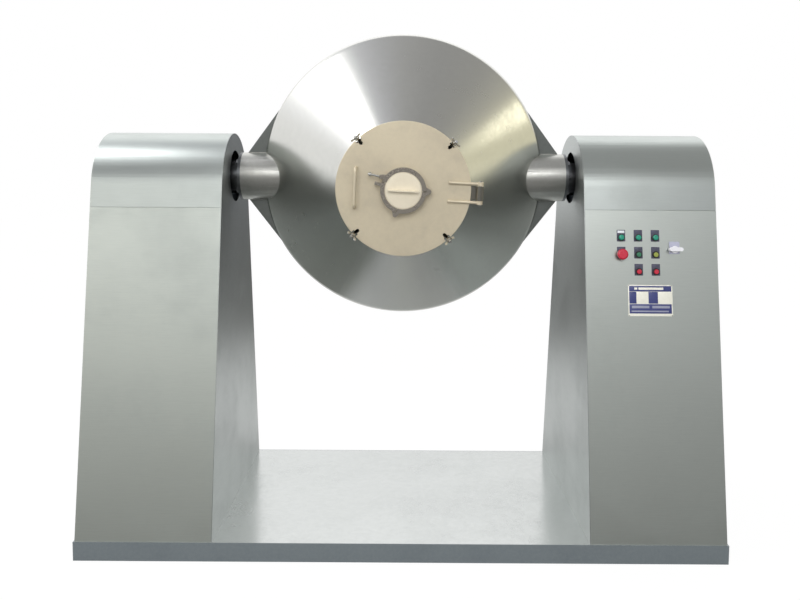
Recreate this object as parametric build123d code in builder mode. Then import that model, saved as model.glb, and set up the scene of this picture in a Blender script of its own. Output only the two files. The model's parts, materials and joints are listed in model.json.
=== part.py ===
from build123d import *
from math import asin, atan, cos, degrees, hypot, radians, sin, tan
import os

# Double cone mixer: a double cone vessel turning on two trunnions between two stands.
# Millimetres. X runs along the trunnion axis, -Y faces the operator, Z is up,
# and the origin lies on the floor under the middle of the vessel.

os.makedirs("parts", exist_ok=True)

# Base
overall_length = 2560
base_depth = 1016
base_height = 75
skirt_sheet = 3
skirt_overhang = 5
deck_sheet = 4
beam_width = 60
beam_height = 56
foot_radius = 28
foot_inset = 45

# Stands; their tops follow the trunnion axis and their inner faces follow the vessel
stand_gap = 127
stand_rise = 186
crown_radius = 265
hood_height = 315
seam_gap = 1
panel_sheet = 3
shaft_hole_radius = 112

# Service opening, its cover and the cover's louvres
opening_width = 240
opening_height = 520
opening_drop = 508
cover_overlap = 25
cover_corner = 12
louvre_length = 80
louvre_height = 8
louvre_pitch = 26
louvre_rows = 6
screw_radius = 5
screw_head_height = 2

# Vessel
axis_height = 1502
vessel_radius = 612
vessel_wall = 5
cone_angle = 45
knuckle_radius = 50
rest_tilt = 5.4
mouth_turn = -2.5

# Mouth, measured along the cone axis from the vessel's centre
neck_radius = 222
neck_length = 76.2893
flange_radius = 250
flange_thickness = 14
gasket_width = 9
gasket_thickness = 3
seal_gap = 0.3
lid_radius = 257
lid_thickness = 10
lid_chamfer = 2

# Swing bolts and wing nuts
bolt_count = 4
first_bolt_angle = 45
bolt_radius = 6
bolt_slot_width = 14
eye_radius = 11
eye_width = 12
pivot_pin_radius = 5
pivot_drop = 47
pivot_clearance = 2
bolt_lean = 22.5
bolt_length = 86
ear_thickness = 8
ear_gap = 0.5
ear_margin = 12
nut_radius = 10
nut_top_radius = 8
nut_height = 12
nut_pocket_gap = 2
pocket_depth = 13
nut_loose_gap = 1
wing_reach = 22
wing_thickness = 3
wing_start = 4
wing_top = 22
running_clearance = 0.05

# Lid hinge
hinge_reach = 290
hinge_pin_radius = 6
hinge_pin_length = 94
knuckle_outer = 14
bracket_half_height = 26
arm_radius = 6
arm_spread = 70.7
arm_start = 170
arm_eye_width = 14
arm_eye_radius = 12

# Lid handle
handle_offset = 181
handle_length = 148
handle_stand_off = 42
handle_rod_radius = 6
handle_bend = 14

# Centre port and its three-piece clamp
port_bore_radius = 62
port_tube_radius = 66
ferrule_radius = 76
ferrule_rim = 5
ferrule_taper = 21
ferrule_height = 33
cap_boss_height = 10
grip_length = 115
grip_height = 24
grip_thickness = 4
clamp_inner_radius = 70.5
clamp_outer_radius = 86
clamp_half_width = 12
clamp_gap = 0.3
segment_gap_angle = 2
hinge_b_angle = 0
hinge_c_angle = 254
closure_angle = 159
closure_gap_angle = 2
clamp_pin_circle = 97
clamp_pin_radius = 3.5
clamp_lug_radius = 8
clamp_root_radius = 3
clamp_root_circle = 82
clamp_root_angle = 10
lug_half_slot = 4.8
clamp_eye_half = 4.5
clamp_bolt_radius = 4
clamp_bolt_length = 50
clamp_bolt_pivot_angle = 151
clamp_lug_angle = 168
clamp_lug_thickness = 10
clamp_lug_tip = 110
clamp_bolt_swing = 80
clamp_nut_radius = 8
clamp_nut_height = 8
clamp_nut_wing_reach = 15

# Trunnions
hub_radius = 103.6
hub_wall = 14
hub_gap = 39
shaft_flange_thickness = 12
shaft_bolt_radius = 84
shaft_flange_bolts = 8
hex_radius = 12
hex_height = 9
shaft_radius = 65
journal_radius = 55
journal_lead = 62
journal_tail = 63
drive_journal_radius = 45
drive_shaft_stub = 20
gusset_thickness = 12
gusset_setback = 21
gusset_slope = 53
gusset_lap = 72

# Bearings and their pedestals
bearing_inset = 83
bearing_width = 90
bearing_radius = 95
bearing_base_length = 320
bearing_base_width = 110
bearing_base_height = 34
bearing_base_drop = 112
bearing_bolt_spacing = 250
bearing_web_length = 180
pedestal_width = 120
pedestal_depth = 240
pedestal_wall = 10
pedestal_plate = 16
pedestal_foot_depth = 400

# Drive
reducer_gap = 43
reducer_width = 160
reducer_depth = 260
reducer_rise = 130
reducer_drop = 210
reducer_round = 30
reducer_boss_radius = 80
reducer_boss_height = 12
torque_arm_depth = 90
torque_arm_height = 50
torque_arm_drop = 170
motor_flange_radius = 100
motor_flange_thickness = 14
motor_radius = 72
motor_length = 230
motor_fins = 24
fin_height = 12
fin_thickness = 4
cowl_radius = 88
cowl_length = 80
cowl_wall = 3
cowl_slots = 10
cowl_slot_width = 7
cowl_slot_start = 22
cowl_slot_end = 74
terminal_box_width = 90
terminal_box_depth = 60
fan_shaft_radius = 12
fan_hub_radius = 24
fan_radius = 78
fan_height = 40
fan_blades = 7
fan_blade_thickness = 4
fan_gap = 12

# Switchgear box and supply gland in the drive stand
gear_box_depth = 150
gear_box_width = 320
gear_box_height = 420
gear_box_bottom = 250
gear_box_round = 12
gland_offset = 163
gland_height = 190
gland_radius = 15
gland_hex_radius = 19
gland_round = 3
gland_panel_gap = 0.1
gland_bore_radius = 8
gland_length = 26
gland_hex_length = 9

# Operating elements on the drive stand, placed on the leaning front panel
control_offset = 121.5
control_drop = 112.9175
control_pitch = 69
control_hole_radius = 11.2
barrel_radius = 11
barrel_length = 45
bezel_radius = 15
bezel_height = 5
legend_width = 34
legend_height = 47
legend_sheet = 1.5
legend_centre = 8
cap_radius = 9.5
cap_clearance = 0.08
cap_depth = 8
cap_height = 4
cap_travel = 4
lens_radius = 11
lens_height = 9
mushroom_radius = 22
mushroom_height = 14
mushroom_stem_radius = 8
mushroom_lift = 8
switch_offset = 93
switch_drop = 48.5
switch_plate_width = 42
switch_plate_height = 50
switch_plate_sheet = 3
switch_boss_radius = 15
switch_boss_height = 8
switch_bar_length = 56
switch_bar_width = 16
switch_bar_depth = 18
switch_spindle_radius = 5

# Discharge side, measured from the vessel's centre away from the mouth
outlet_radius = 109.5
outlet_wall = 4
outlet_flange_radius = 140
outlet_flange_thickness = 12
outlet_length = 34
valve_bore_radius = 100
valve_body_radius = 128
valve_body_length = 40
valve_disc_thickness = 10
valve_disc_gap = 0.6
stem_radius = 10
stem_boss_radius = 20
stem_boss_length = 14
stem_end = 168
lever_thickness = 8
lever_width = 26
lever_length = 210
lever_grip_radius = 12
lever_grip_length = 100
spigot_wall = 4
spigot_length = 60
spigot_flange_radius = 128
spigot_flange_thickness = 10

# Derived places of the stands
inner_face = vessel_radius + stand_gap
outer_face = overall_length / 2 - skirt_overhang
stand_width = outer_face - inner_face
stand_middle = (inner_face + outer_face) / 2
stand_half_depth = base_depth / 2 - skirt_overhang
stand_height = axis_height + stand_rise
seam_height = stand_height - hood_height
opening_centre_height = stand_height - opening_drop
crown_height = stand_height - crown_radius
crown_rise = crown_height - base_height
lean = degrees(atan(stand_half_depth / crown_rise))
lean = lean - degrees(asin(crown_radius / hypot(stand_half_depth, crown_rise)))
sheet_in_y = panel_sheet / cos(radians(lean))
deck_bottom = base_height - deck_sheet
bearing_centre = inner_face + bearing_inset
reducer_start = bearing_centre + pedestal_width / 2 + reducer_gap
gland_x = stand_middle + gland_offset
control_x = stand_middle - control_offset
control_slope = (seam_height - base_height) / cos(radians(lean)) - control_drop
switch_x = stand_middle + switch_offset
switch_slope = control_slope - switch_drop


def half_depth(height):
    """Half the stand's depth at a height below the round top."""
    return stand_half_depth - (height - base_height) * tan(radians(lean))


# Derived places of the vessel
section_radius = vessel_radius - knuckle_radius * (1 - cos(radians(cone_angle)))
section_height = knuckle_radius * sin(radians(cone_angle))
slope = tan(radians(cone_angle))
neck_start = section_height + (section_radius - neck_radius) / slope
outlet_start = section_height + (section_radius - outlet_radius) / slope
neck_bore_radius = neck_radius - vessel_wall
outlet_bore_radius = outlet_radius - outlet_wall
mouth_face = neck_start + neck_length
flange_back = mouth_face - flange_thickness
lid_back = mouth_face + gasket_thickness + seal_gap
lid_front = lid_back + lid_thickness
pivot_circle = neck_radius + eye_radius + pivot_clearance
pivot_level = mouth_face - pivot_drop
nut_seat = lid_front - pivot_level + nut_loose_gap
slot_inner = pivot_circle - bolt_slot_width / 2
pocket_inner = lid_radius - pocket_depth
hinge_level = lid_front + arm_radius
port_face = lid_front + ferrule_height
flange_slope = tan(radians(ferrule_taper))
bolt_angles = [first_bolt_angle + 360 / bolt_count * i for i in range(bolt_count)]

hub_end = inner_face - hub_gap
journal_start = bearing_centre - journal_lead
journal_end = bearing_centre + journal_tail
drive_shaft_end = reducer_start + reducer_width + drive_shaft_stub
gusset_reach = hub_end - gusset_setback
gusset_root = vessel_radius - gusset_lap

tilt = radians(rest_tilt)
centre = (0, 0, axis_height)
mouth_direction = Vector(0, -cos(tilt), -sin(tilt))
cone_axis = Axis(centre, tuple(mouth_direction))
vessel_plane = Plane(origin=centre, x_dir=(1, 0, 0), z_dir=tuple(mouth_direction))
rear_plane = Plane(origin=centre, x_dir=(1, 0, 0), z_dir=tuple(-mouth_direction))
mouth_x = vessel_plane.x_dir * cos(radians(mouth_turn)) + vessel_plane.y_dir * sin(radians(mouth_turn))
mouth_plane = Plane(origin=centre, x_dir=tuple(mouth_x), z_dir=tuple(mouth_direction))


def mouth_point(radius, angle, level):
    """A point given by radius and angle round the mouth and level along the cone axis."""
    u = radius * cos(radians(angle))
    v = radius * sin(radians(angle))
    return mouth_plane.from_local_coords(Vector(u, v, level))


def mouth_vector(angle):
    """The outward direction at an angle round the mouth."""
    return (mouth_point(1, angle, 0) - mouth_point(0, angle, 0)).normalized()


def side_plane(angle, origin, turn=0):
    """A plane with x outward and y along the cone axis, both leaning outward by turn."""
    outward = mouth_vector(angle)
    x_dir = outward * cos(radians(turn)) - mouth_direction * sin(radians(turn))
    y_dir = outward * sin(radians(turn)) + mouth_direction * cos(radians(turn))
    return Plane(origin=origin, x_dir=tuple(x_dir), z_dir=tuple(x_dir.cross(y_dir)))


# Base: a skirt of sheet round welded beams, standing on feet
with BuildPart() as base_frame:
    with BuildSketch():
        Rectangle(overall_length, base_depth)
        offset(amount=-skirt_sheet, mode=Mode.SUBTRACT)
    extrude(amount=base_height)
    inner_length = overall_length - 2 * skirt_sheet
    inner_depth = base_depth - 2 * skirt_sheet
    with BuildSketch(Plane.XY.offset(deck_bottom - beam_height)):
        with GridLocations(0, inner_depth - beam_width, 1, 2):
            Rectangle(inner_length, beam_width)
        with GridLocations(inner_length - beam_width, 0, 2, 1):
            Rectangle(beam_width, inner_depth)
        with GridLocations(inner_face, 0, 3, 1):
            Rectangle(beam_width, inner_depth)
    extrude(amount=beam_height)
    with BuildSketch():
        Circle(foot_radius)
        with GridLocations(inner_length - 2 * foot_inset, inner_depth - beam_width, 2, 2):
            Circle(foot_radius)
        with GridLocations(2 * inner_face, inner_depth - beam_width, 2, 2):
            Circle(foot_radius)
    extrude(amount=deck_bottom - beam_height)
base_frame.part.label = "base_frame"
export_step(base_frame.part, "parts/base_frame.step")

# Base: bright top sheet inside the skirt
with BuildPart() as base_deck:
    with BuildSketch(Plane.XY.offset(deck_bottom)):
        Rectangle(inner_length, inner_depth)
    extrude(amount=deck_sheet)
base_deck.part.label = "base_deck"
export_step(base_deck.part, "parts/base_deck.step")

# Side view of a stand, and the band that its sheets make
with BuildSketch() as stand_side:
    with BuildLine():
        tangent_y = crown_radius * cos(radians(lean))
        tangent_z = crown_height + crown_radius * sin(radians(lean))
        Polyline((-tangent_y, tangent_z), (-stand_half_depth, base_height),
                 (stand_half_depth, base_height), (tangent_y, tangent_z))
        ThreePointArc((tangent_y, tangent_z), (0, stand_height), (-tangent_y, tangent_z))
    make_face()
with BuildSketch() as stand_band:
    add(stand_side.sketch_local)
    offset(stand_side.sketch_local, amount=-panel_sheet, mode=Mode.SUBTRACT)

sheet_length = stand_width - 2 * panel_sheet
front_panel_plane = Plane(origin=(0, -stand_half_depth, base_height), x_dir=(1, 0, 0),
                          z_dir=(0, -cos(radians(lean)), sin(radians(lean))))
back_panel_plane = Plane(origin=(0, stand_half_depth, base_height), x_dir=(-1, 0, 0),
                         z_dir=(0, cos(radians(lean)), sin(radians(lean))))
lamp_points = [(control_x + control_pitch * i, control_slope) for i in range(3)]
stop_point = (control_x, control_slope - control_pitch)
button_points = [(control_x + control_pitch * i, control_slope - control_pitch * j)
                 for j in (1, 2) for i in (1, 2)]
control_points = lamp_points + [stop_point] + button_points


def panel_section(side):
    """Corners of a leaning panel's section in the Y-Z plane; side is -1 in front, 1 behind."""
    top = seam_height - seam_gap
    outer = [(half_depth(base_height), base_height), (half_depth(top), top)]
    inner = [(y - sheet_in_y, z) for y, z in reversed(outer)]
    return [(side * y, z) for y, z in outer + inner]


# Left stand: front and back sheets
with BuildPart() as left_panels:
    with BuildSketch(Plane.YZ.offset(-outer_face + panel_sheet)):
        for side in (-1, 1):
            with BuildLine():
                Polyline(*panel_section(side), close=True)
            make_face()
    extrude(amount=sheet_length)
left_panels.part.label = "left_panels"
export_step(left_panels.part, "parts/left_panels.step")

# Right stand: front sheet with holes for the controls, back sheet with the supply gland's hole
with BuildPart() as right_panels:
    with BuildSketch(Plane.YZ.offset(inner_face + panel_sheet)):
        for side in (-1, 1):
            with BuildLine():
                Polyline(*panel_section(side), close=True)
            make_face()
    extrude(amount=sheet_length)
    with BuildSketch(front_panel_plane):
        with Locations(*control_points, (switch_x, switch_slope)):
            Circle(control_hole_radius)
    extrude(amount=-2 * panel_sheet, mode=Mode.SUBTRACT)
    with BuildSketch(back_panel_plane):
        with Locations((-gland_x, gland_height)):
            Circle(gland_radius)
    extrude(amount=-2 * panel_sheet, mode=Mode.SUBTRACT)
right_panels.part.label = "right_panels"
export_step(right_panels.part, "parts/right_panels.step")

# Inner sides, with the hole that the trunnion shaft passes
with BuildPart() as right_inner_side:
    with BuildSketch(Plane.YZ.offset(inner_face)):
        add(stand_side.sketch_local)
        with Locations((0, axis_height)):
            Circle(shaft_hole_radius, mode=Mode.SUBTRACT)
    extrude(amount=panel_sheet)
right_inner_side.part.label = "right_inner_side"
export_step(right_inner_side.part, "parts/right_inner_side.step")

with BuildPart() as left_inner_side:
    with BuildSketch(Plane.YZ.offset(-inner_face)):
        add(stand_side.sketch_local)
        with Locations((0, axis_height)):
            Circle(shaft_hole_radius, mode=Mode.SUBTRACT)
    extrude(amount=-panel_sheet)
left_inner_side.part.label = "left_inner_side"
export_step(left_inner_side.part, "parts/left_inner_side.step")

# Outer sides; the drive stand's has the service opening
with BuildPart() as left_outer_side:
    with BuildSketch(Plane.YZ.offset(-outer_face)):
        add(stand_side.sketch_local)
    extrude(amount=panel_sheet)
left_outer_side.part.label = "left_outer_side"
export_step(left_outer_side.part, "parts/left_outer_side.step")

with BuildPart() as right_outer_side:
    with BuildSketch(Plane.YZ.offset(outer_face)):
        add(stand_side.sketch_local)
        with Locations((0, opening_centre_height)):
            RectangleRounded(opening_width, opening_height, cover_corner, mode=Mode.SUBTRACT)
    extrude(amount=-panel_sheet)
right_outer_side.part.label = "right_outer_side"
export_step(right_outer_side.part, "parts/right_outer_side.step")

# Hoods: the round tops above the seam
with BuildPart() as left_hood:
    with BuildSketch(Plane.YZ.offset(-outer_face + panel_sheet)):
        add(stand_band.sketch_local)
    extrude(amount=sheet_length)
    split(bisect_by=Plane.XY.offset(seam_height), keep=Keep.TOP)
left_hood.part.label = "left_hood"
export_step(left_hood.part, "parts/left_hood.step")

with BuildPart() as right_hood:
    with BuildSketch(Plane.YZ.offset(inner_face + panel_sheet)):
        add(stand_band.sketch_local)
    extrude(amount=sheet_length)
    split(bisect_by=Plane.XY.offset(seam_height), keep=Keep.TOP)
right_hood.part.label = "right_hood"
export_step(right_hood.part, "parts/right_hood.step")

# Louvred cover over the service opening
cover_width = opening_width + 2 * cover_overlap
cover_height = opening_height + 2 * cover_overlap
with BuildPart() as service_cover:
    with BuildSketch(Plane.YZ.offset(outer_face)):
        with Locations((0, opening_centre_height)):
            RectangleRounded(cover_width, cover_height, cover_corner)
            with GridLocations(opening_width / 2, louvre_pitch, 2, louvre_rows):
                SlotOverall(louvre_length, louvre_height, mode=Mode.SUBTRACT)
    extrude(amount=panel_sheet)
service_cover.part.label = "service_cover"
export_step(service_cover.part, "parts/service_cover.step")

# Cover screws and the bolts of the bearings
bearing_base_top = axis_height - bearing_base_drop + bearing_base_height
with BuildPart() as frame_bolts:
    with BuildSketch(Plane.YZ.offset(outer_face + panel_sheet)):
        with Locations((0, opening_centre_height)):
            with GridLocations(opening_width + cover_overlap, (cover_height - cover_overlap) / 2, 2, 3):
                Circle(screw_radius)
    extrude(amount=screw_head_height)
    with BuildSketch(Plane.XY.offset(bearing_base_top)):
        with GridLocations(2 * bearing_centre, bearing_bolt_spacing, 2, 2):
            RegularPolygon(hex_radius, 6)
    extrude(amount=hex_height)
frame_bolts.part.label = "frame_bolts"
export_step(frame_bolts.part, "parts/frame_bolts.step")

# Pedestals inside the stands, welded box columns that carry the bearings
pedestal_top = axis_height - bearing_base_drop
column_height = pedestal_top - base_height - 2 * pedestal_plate
with BuildPart() as bearing_pedestals:
    with BuildSketch(Plane.XY.offset(base_height)):
        with GridLocations(2 * bearing_centre, 0, 2, 1):
            Rectangle(pedestal_width, pedestal_foot_depth)
    extrude(amount=pedestal_plate)
    with BuildSketch(Plane.XY.offset(base_height + pedestal_plate)):
        with GridLocations(2 * bearing_centre, 0, 2, 1):
            Rectangle(pedestal_width, pedestal_depth)
        with GridLocations(2 * bearing_centre, 0, 2, 1):
            Rectangle(pedestal_width - 2 * pedestal_wall, pedestal_depth - 2 * pedestal_wall,
                      mode=Mode.SUBTRACT)
    extrude(amount=column_height)
    with BuildSketch(Plane.XY.offset(pedestal_top - pedestal_plate)):
        with GridLocations(2 * bearing_centre, 0, 2, 1):
            Rectangle(pedestal_width, bearing_base_length)
            Rectangle(pedestal_width / 2, pedestal_depth / 2, mode=Mode.SUBTRACT)
    extrude(amount=pedestal_plate)
bearing_pedestals.part.label = "bearing_pedestals"
export_step(bearing_pedestals.part, "parts/bearing_pedestals.step")

# Pillow block bearings
with BuildPart() as bearings:
    with BuildSketch(Plane.XY.offset(pedestal_top)):
        with GridLocations(2 * bearing_centre, 0, 2, 1):
            Rectangle(bearing_base_width, bearing_base_length)
    extrude(amount=bearing_base_height)
    for side in (-1, 1):
        with BuildSketch(Plane.YZ.offset(side * bearing_centre)):
            with Locations((0, axis_height)):
                Circle(bearing_radius)
            with Locations((0, axis_height - bearing_base_drop + bearing_base_height)):
                Rectangle(bearing_web_length, bearing_base_drop - bearing_base_height,
                          align=(Align.CENTER, Align.MIN))
        extrude(amount=bearing_width / 2, both=True)
        with BuildSketch(Plane.YZ.offset(side * bearing_centre)):
            with Locations((0, axis_height)):
                Circle(journal_radius + running_clearance)
        extrude(amount=bearing_width, both=True, mode=Mode.SUBTRACT)
bearings.part.label = "bearings"
export_step(bearings.part, "parts/bearings.step")

# Shaft-mounted gear reducer with its torque arm against the pedestal
reducer_centre = reducer_start + reducer_width / 2
with BuildPart() as gear_reducer:
    with BuildSketch(Plane.YZ.offset(reducer_start)):
        with Locations((0, axis_height - reducer_drop)):
            Rectangle(reducer_depth, reducer_drop + reducer_rise, align=(Align.CENTER, Align.MIN))
    extrude(amount=reducer_width)
    fillet(gear_reducer.edges().filter_by(Axis.X), radius=reducer_round)
    with BuildSketch(Plane.YZ.offset(reducer_start + reducer_width)):
        with Locations((0, axis_height)):
            Circle(reducer_boss_radius)
    extrude(amount=reducer_boss_height)
    with BuildSketch(Plane.YZ.offset(reducer_start)):
        with Locations((0, axis_height - torque_arm_drop)):
            Rectangle(torque_arm_depth, torque_arm_height)
    extrude(amount=bearing_centre + pedestal_width / 2 - reducer_start)
    with BuildSketch(Plane.YZ.offset(reducer_start)):
        with Locations((0, axis_height)):
            Circle(drive_journal_radius + running_clearance)
    extrude(amount=reducer_width + reducer_boss_height, mode=Mode.SUBTRACT)
gear_reducer.part.label = "gear_reducer"
export_step(gear_reducer.part, "parts/gear_reducer.step")

# Motor hanging under the reducer: finned body, terminal box and slotted fan cowl
motor_top = axis_height - reducer_drop
motor_bottom = motor_top - motor_flange_thickness - motor_length
cowl_bottom = motor_bottom - cowl_length
motor_plane = Plane(origin=(reducer_centre, 0, 0))
with BuildPart() as drive_motor:
    with BuildSketch(motor_plane.offset(motor_top - motor_flange_thickness)):
        Circle(motor_flange_radius)
    extrude(amount=motor_flange_thickness)
    with BuildSketch(motor_plane.offset(motor_bottom)):
        Circle(motor_radius)
        with PolarLocations(motor_radius + fin_height / 2, motor_fins):
            Rectangle(2 * fin_height, fin_thickness)
    extrude(amount=motor_length)
    with BuildSketch(motor_plane.offset(motor_bottom + motor_length / 2)):
        with Locations((motor_radius + terminal_box_depth / 2, 0)):
            Rectangle(terminal_box_depth, terminal_box_width)
    extrude(amount=terminal_box_width)
    with BuildSketch(motor_plane.offset(motor_bottom)):
        Circle(cowl_radius)
    extrude(amount=-cowl_length)
    with BuildSketch(motor_plane.offset(motor_bottom - cowl_wall)):
        Circle(cowl_radius - cowl_wall)
    extrude(amount=-cowl_length + 2 * cowl_wall, mode=Mode.SUBTRACT)
    with BuildSketch(motor_plane.offset(cowl_bottom)):
        with PolarLocations((cowl_slot_start + cowl_slot_end) / 2, cowl_slots):
            SlotOverall(cowl_slot_end - cowl_slot_start, cowl_slot_width)
    extrude(amount=cowl_wall, mode=Mode.SUBTRACT)
    with BuildSketch(motor_plane.offset(motor_bottom)):
        Circle(fan_shaft_radius + running_clearance)
    extrude(amount=-cowl_wall, mode=Mode.SUBTRACT)
    with BuildSketch(motor_plane.offset(motor_bottom)):
        Circle(fan_shaft_radius + running_clearance)
    extrude(amount=motor_length / 2, mode=Mode.SUBTRACT)
drive_motor.part.label = "drive_motor"
export_step(drive_motor.part, "parts/drive_motor.step")

# Motor shaft end with its cooling fan, inside the cowl
with BuildPart() as motor_fan:
    with BuildSketch(motor_plane.offset(motor_bottom + motor_length / 2 - fan_gap)):
        Circle(fan_shaft_radius)
    extrude(amount=-motor_length / 2 - fan_height)
    with BuildSketch(motor_plane.offset(motor_bottom - cowl_wall - fan_gap)):
        Circle(fan_hub_radius)
        with PolarLocations(fan_radius / 2, fan_blades):
            Rectangle(fan_radius, fan_blade_thickness)
    extrude(amount=-fan_height)
motor_fan.part.label = "motor_fan"
export_step(motor_fan.part, "parts/motor_fan.step")

# Switchgear box on the outer side of the drive stand
with BuildPart() as electric_box:
    with BuildSketch(Plane.YZ.offset(outer_face - panel_sheet)):
        with Locations((0, gear_box_bottom)):
            Rectangle(gear_box_width, gear_box_height, align=(Align.CENTER, Align.MIN))
    extrude(amount=-gear_box_depth)
    fillet(electric_box.edges().filter_by(Axis.X), radius=gear_box_round)
electric_box.part.label = "electric_box"
export_step(electric_box.part, "parts/electric_box.step")

# Supply gland in the back sheet: flanged body, hexagon and sealing nut
with BuildPart() as cable_gland:
    with BuildSketch(back_panel_plane):
        with Locations((-gland_x, gland_height)):
            RegularPolygon(gland_hex_radius, 6)
    extrude(amount=gland_hex_length)
    with BuildSketch(back_panel_plane.offset(-2 * panel_sheet)):
        with Locations((-gland_x, gland_height)):
            Circle(gland_radius - gland_panel_gap)
    extrude(amount=2 * panel_sheet + gland_length)
    fillet(cable_gland.faces().sort_by(Axis.Y)[-1].edges(), radius=gland_round)
    with BuildSketch(back_panel_plane.offset(-2 * panel_sheet)):
        with Locations((-gland_x, gland_height)):
            Circle(gland_bore_radius)
    extrude(amount=2 * panel_sheet + gland_length, mode=Mode.SUBTRACT)
cable_gland.part.label = "cable_gland"
export_step(cable_gland.part, "parts/cable_gland.step")

# Profile of the vessel in the plane of X and the cone axis
section_plane = Plane(origin=centre, x_dir=(1, 0, 0), z_dir=(0, sin(tilt), -cos(tilt)))
normal_r = cos(radians(cone_angle))
normal_h = sin(radians(cone_angle))
inner_radius = section_radius - vessel_wall * normal_r
inner_height = section_height - vessel_wall * normal_h
neck_bore_start = inner_height + (inner_radius - neck_bore_radius) / slope
outlet_bore_start = inner_height + (inner_radius - outlet_bore_radius) / slope
outlet_face = outlet_start + outlet_length

# Vessel: rounded belt at the equator
with BuildPart() as vessel_belt:
    with BuildSketch(section_plane):
        with BuildLine():
            ThreePointArc((section_radius, section_height), (vessel_radius, 0),
                          (section_radius, -section_height))
            Line((section_radius, -section_height), (inner_radius, -inner_height))
            ThreePointArc((inner_radius, -inner_height), (vessel_radius - vessel_wall, 0),
                          (inner_radius, inner_height))
            Line((inner_radius, inner_height), (section_radius, section_height))
        make_face()
    revolve(axis=cone_axis)
vessel_belt.part.label = "vessel_belt"
export_step(vessel_belt.part, "parts/vessel_belt.step")

# Vessel: cone towards the mouth
with BuildPart() as vessel_front_cone:
    with BuildSketch(section_plane):
        with BuildLine():
            Polyline((section_radius, section_height), (neck_radius, neck_start),
                     (neck_bore_radius, neck_start), (neck_bore_radius, neck_bore_start),
                     (inner_radius, inner_height), close=True)
        make_face()
    revolve(axis=cone_axis)
vessel_front_cone.part.label = "vessel_front_cone"
export_step(vessel_front_cone.part, "parts/vessel_front_cone.step")

# Vessel: cone towards the discharge, with its short pipe and flange
with BuildPart() as vessel_rear_cone:
    with BuildSketch(section_plane):
        with BuildLine():
            flange_top = outlet_face - outlet_flange_thickness
            Polyline((section_radius, -section_height), (outlet_radius, -outlet_start),
                     (outlet_radius, -flange_top), (outlet_flange_radius, -flange_top),
                     (outlet_flange_radius, -outlet_face), (outlet_bore_radius, -outlet_face),
                     (outlet_bore_radius, -outlet_bore_start), (inner_radius, -inner_height),
                     close=True)
        make_face()
    revolve(axis=cone_axis)
vessel_rear_cone.part.label = "vessel_rear_cone"
export_step(vessel_rear_cone.part, "parts/vessel_rear_cone.step")

# Mouth: neck, slotted flange, lugs of the swing bolts and bracket of the lid's hinge
ear_low = pivot_level - ear_margin
ear_offset = eye_width / 2 + ear_gap + ear_thickness / 2
ear_length = eye_radius + pivot_clearance + ear_margin + vessel_wall / 2
ear_middle = pivot_circle + ear_margin - ear_length / 2
slot_length = 2 * (flange_radius - slot_inner)
hinge_point = mouth_point(hinge_reach, 0, hinge_level)
hinge_plane = side_plane(0, hinge_point)
pivot_points = [mouth_point(pivot_circle, angle, pivot_level) for angle in bolt_angles]
pin_half = ear_offset + ear_thickness
with BuildPart() as vessel_mouth:
    with BuildSketch(mouth_plane.offset(neck_start)):
        Circle(neck_radius)
    extrude(amount=mouth_face - neck_start)
    with BuildSketch(mouth_plane.offset(flange_back)):
        Circle(flange_radius)
    extrude(amount=flange_thickness)
    with BuildSketch(mouth_plane.offset(ear_low)):
        with PolarLocations(ear_middle, bolt_count, start_angle=first_bolt_angle):
            with GridLocations(0, 2 * ear_offset, 1, 2):
                Rectangle(ear_length, ear_thickness)
    extrude(amount=flange_back - ear_low)
    with BuildSketch(mouth_plane.offset(flange_back)):
        with PolarLocations(slot_inner + slot_length / 2, bolt_count, start_angle=first_bolt_angle):
            SlotOverall(slot_length, bolt_slot_width)
    extrude(amount=flange_thickness, mode=Mode.SUBTRACT)
    with BuildSketch(hinge_plane):
        Circle(knuckle_outer)
        with BuildLine():
            low = flange_back - hinge_level
            foot_top = mouth_face - hinge_level
            foot_start = flange_radius - vessel_wall - hinge_reach
            Polyline((foot_start, low), (knuckle_outer, low), (knuckle_outer, 0),
                     (-knuckle_outer, 0), (-knuckle_outer, foot_top), (foot_start, foot_top),
                     close=True)
        make_face()
    extrude(amount=bracket_half_height, both=True)
    with BuildSketch(hinge_plane):
        Circle(hinge_pin_radius)
    extrude(amount=bracket_half_height, both=True, mode=Mode.SUBTRACT)
    with BuildSketch(mouth_plane.offset(neck_start)):
        Circle(neck_bore_radius)
    extrude(amount=mouth_face - neck_start, mode=Mode.SUBTRACT)
    for angle, point in zip(bolt_angles, pivot_points):
        with BuildSketch(side_plane(angle, point)):
            Circle(pivot_pin_radius)
        extrude(amount=pin_half, both=True, mode=Mode.SUBTRACT)
vessel_mouth.part.label = "vessel_mouth"
export_step(vessel_mouth.part, "parts/vessel_mouth.step")

# Pins of the swing bolts and of the lid's hinge
with BuildPart() as pivot_pins:
    for angle, point in zip(bolt_angles, pivot_points):
        with BuildSketch(side_plane(angle, point)):
            Circle(pivot_pin_radius)
        extrude(amount=pin_half, both=True)
    with BuildSketch(hinge_plane):
        Circle(hinge_pin_radius)
    extrude(amount=hinge_pin_length / 2, both=True)
pivot_pins.part.label = "pivot_pins"
export_step(pivot_pins.part, "parts/pivot_pins.step")

# Gasket on the mouth flange
with BuildPart() as mouth_gasket:
    with BuildSketch(mouth_plane.offset(mouth_face)):
        Circle(neck_bore_radius + gasket_width)
        Circle(neck_bore_radius, mode=Mode.SUBTRACT)
    extrude(amount=gasket_thickness)
mouth_gasket.part.label = "mouth_gasket"
export_step(mouth_gasket.part, "parts/mouth_gasket.step")

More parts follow.
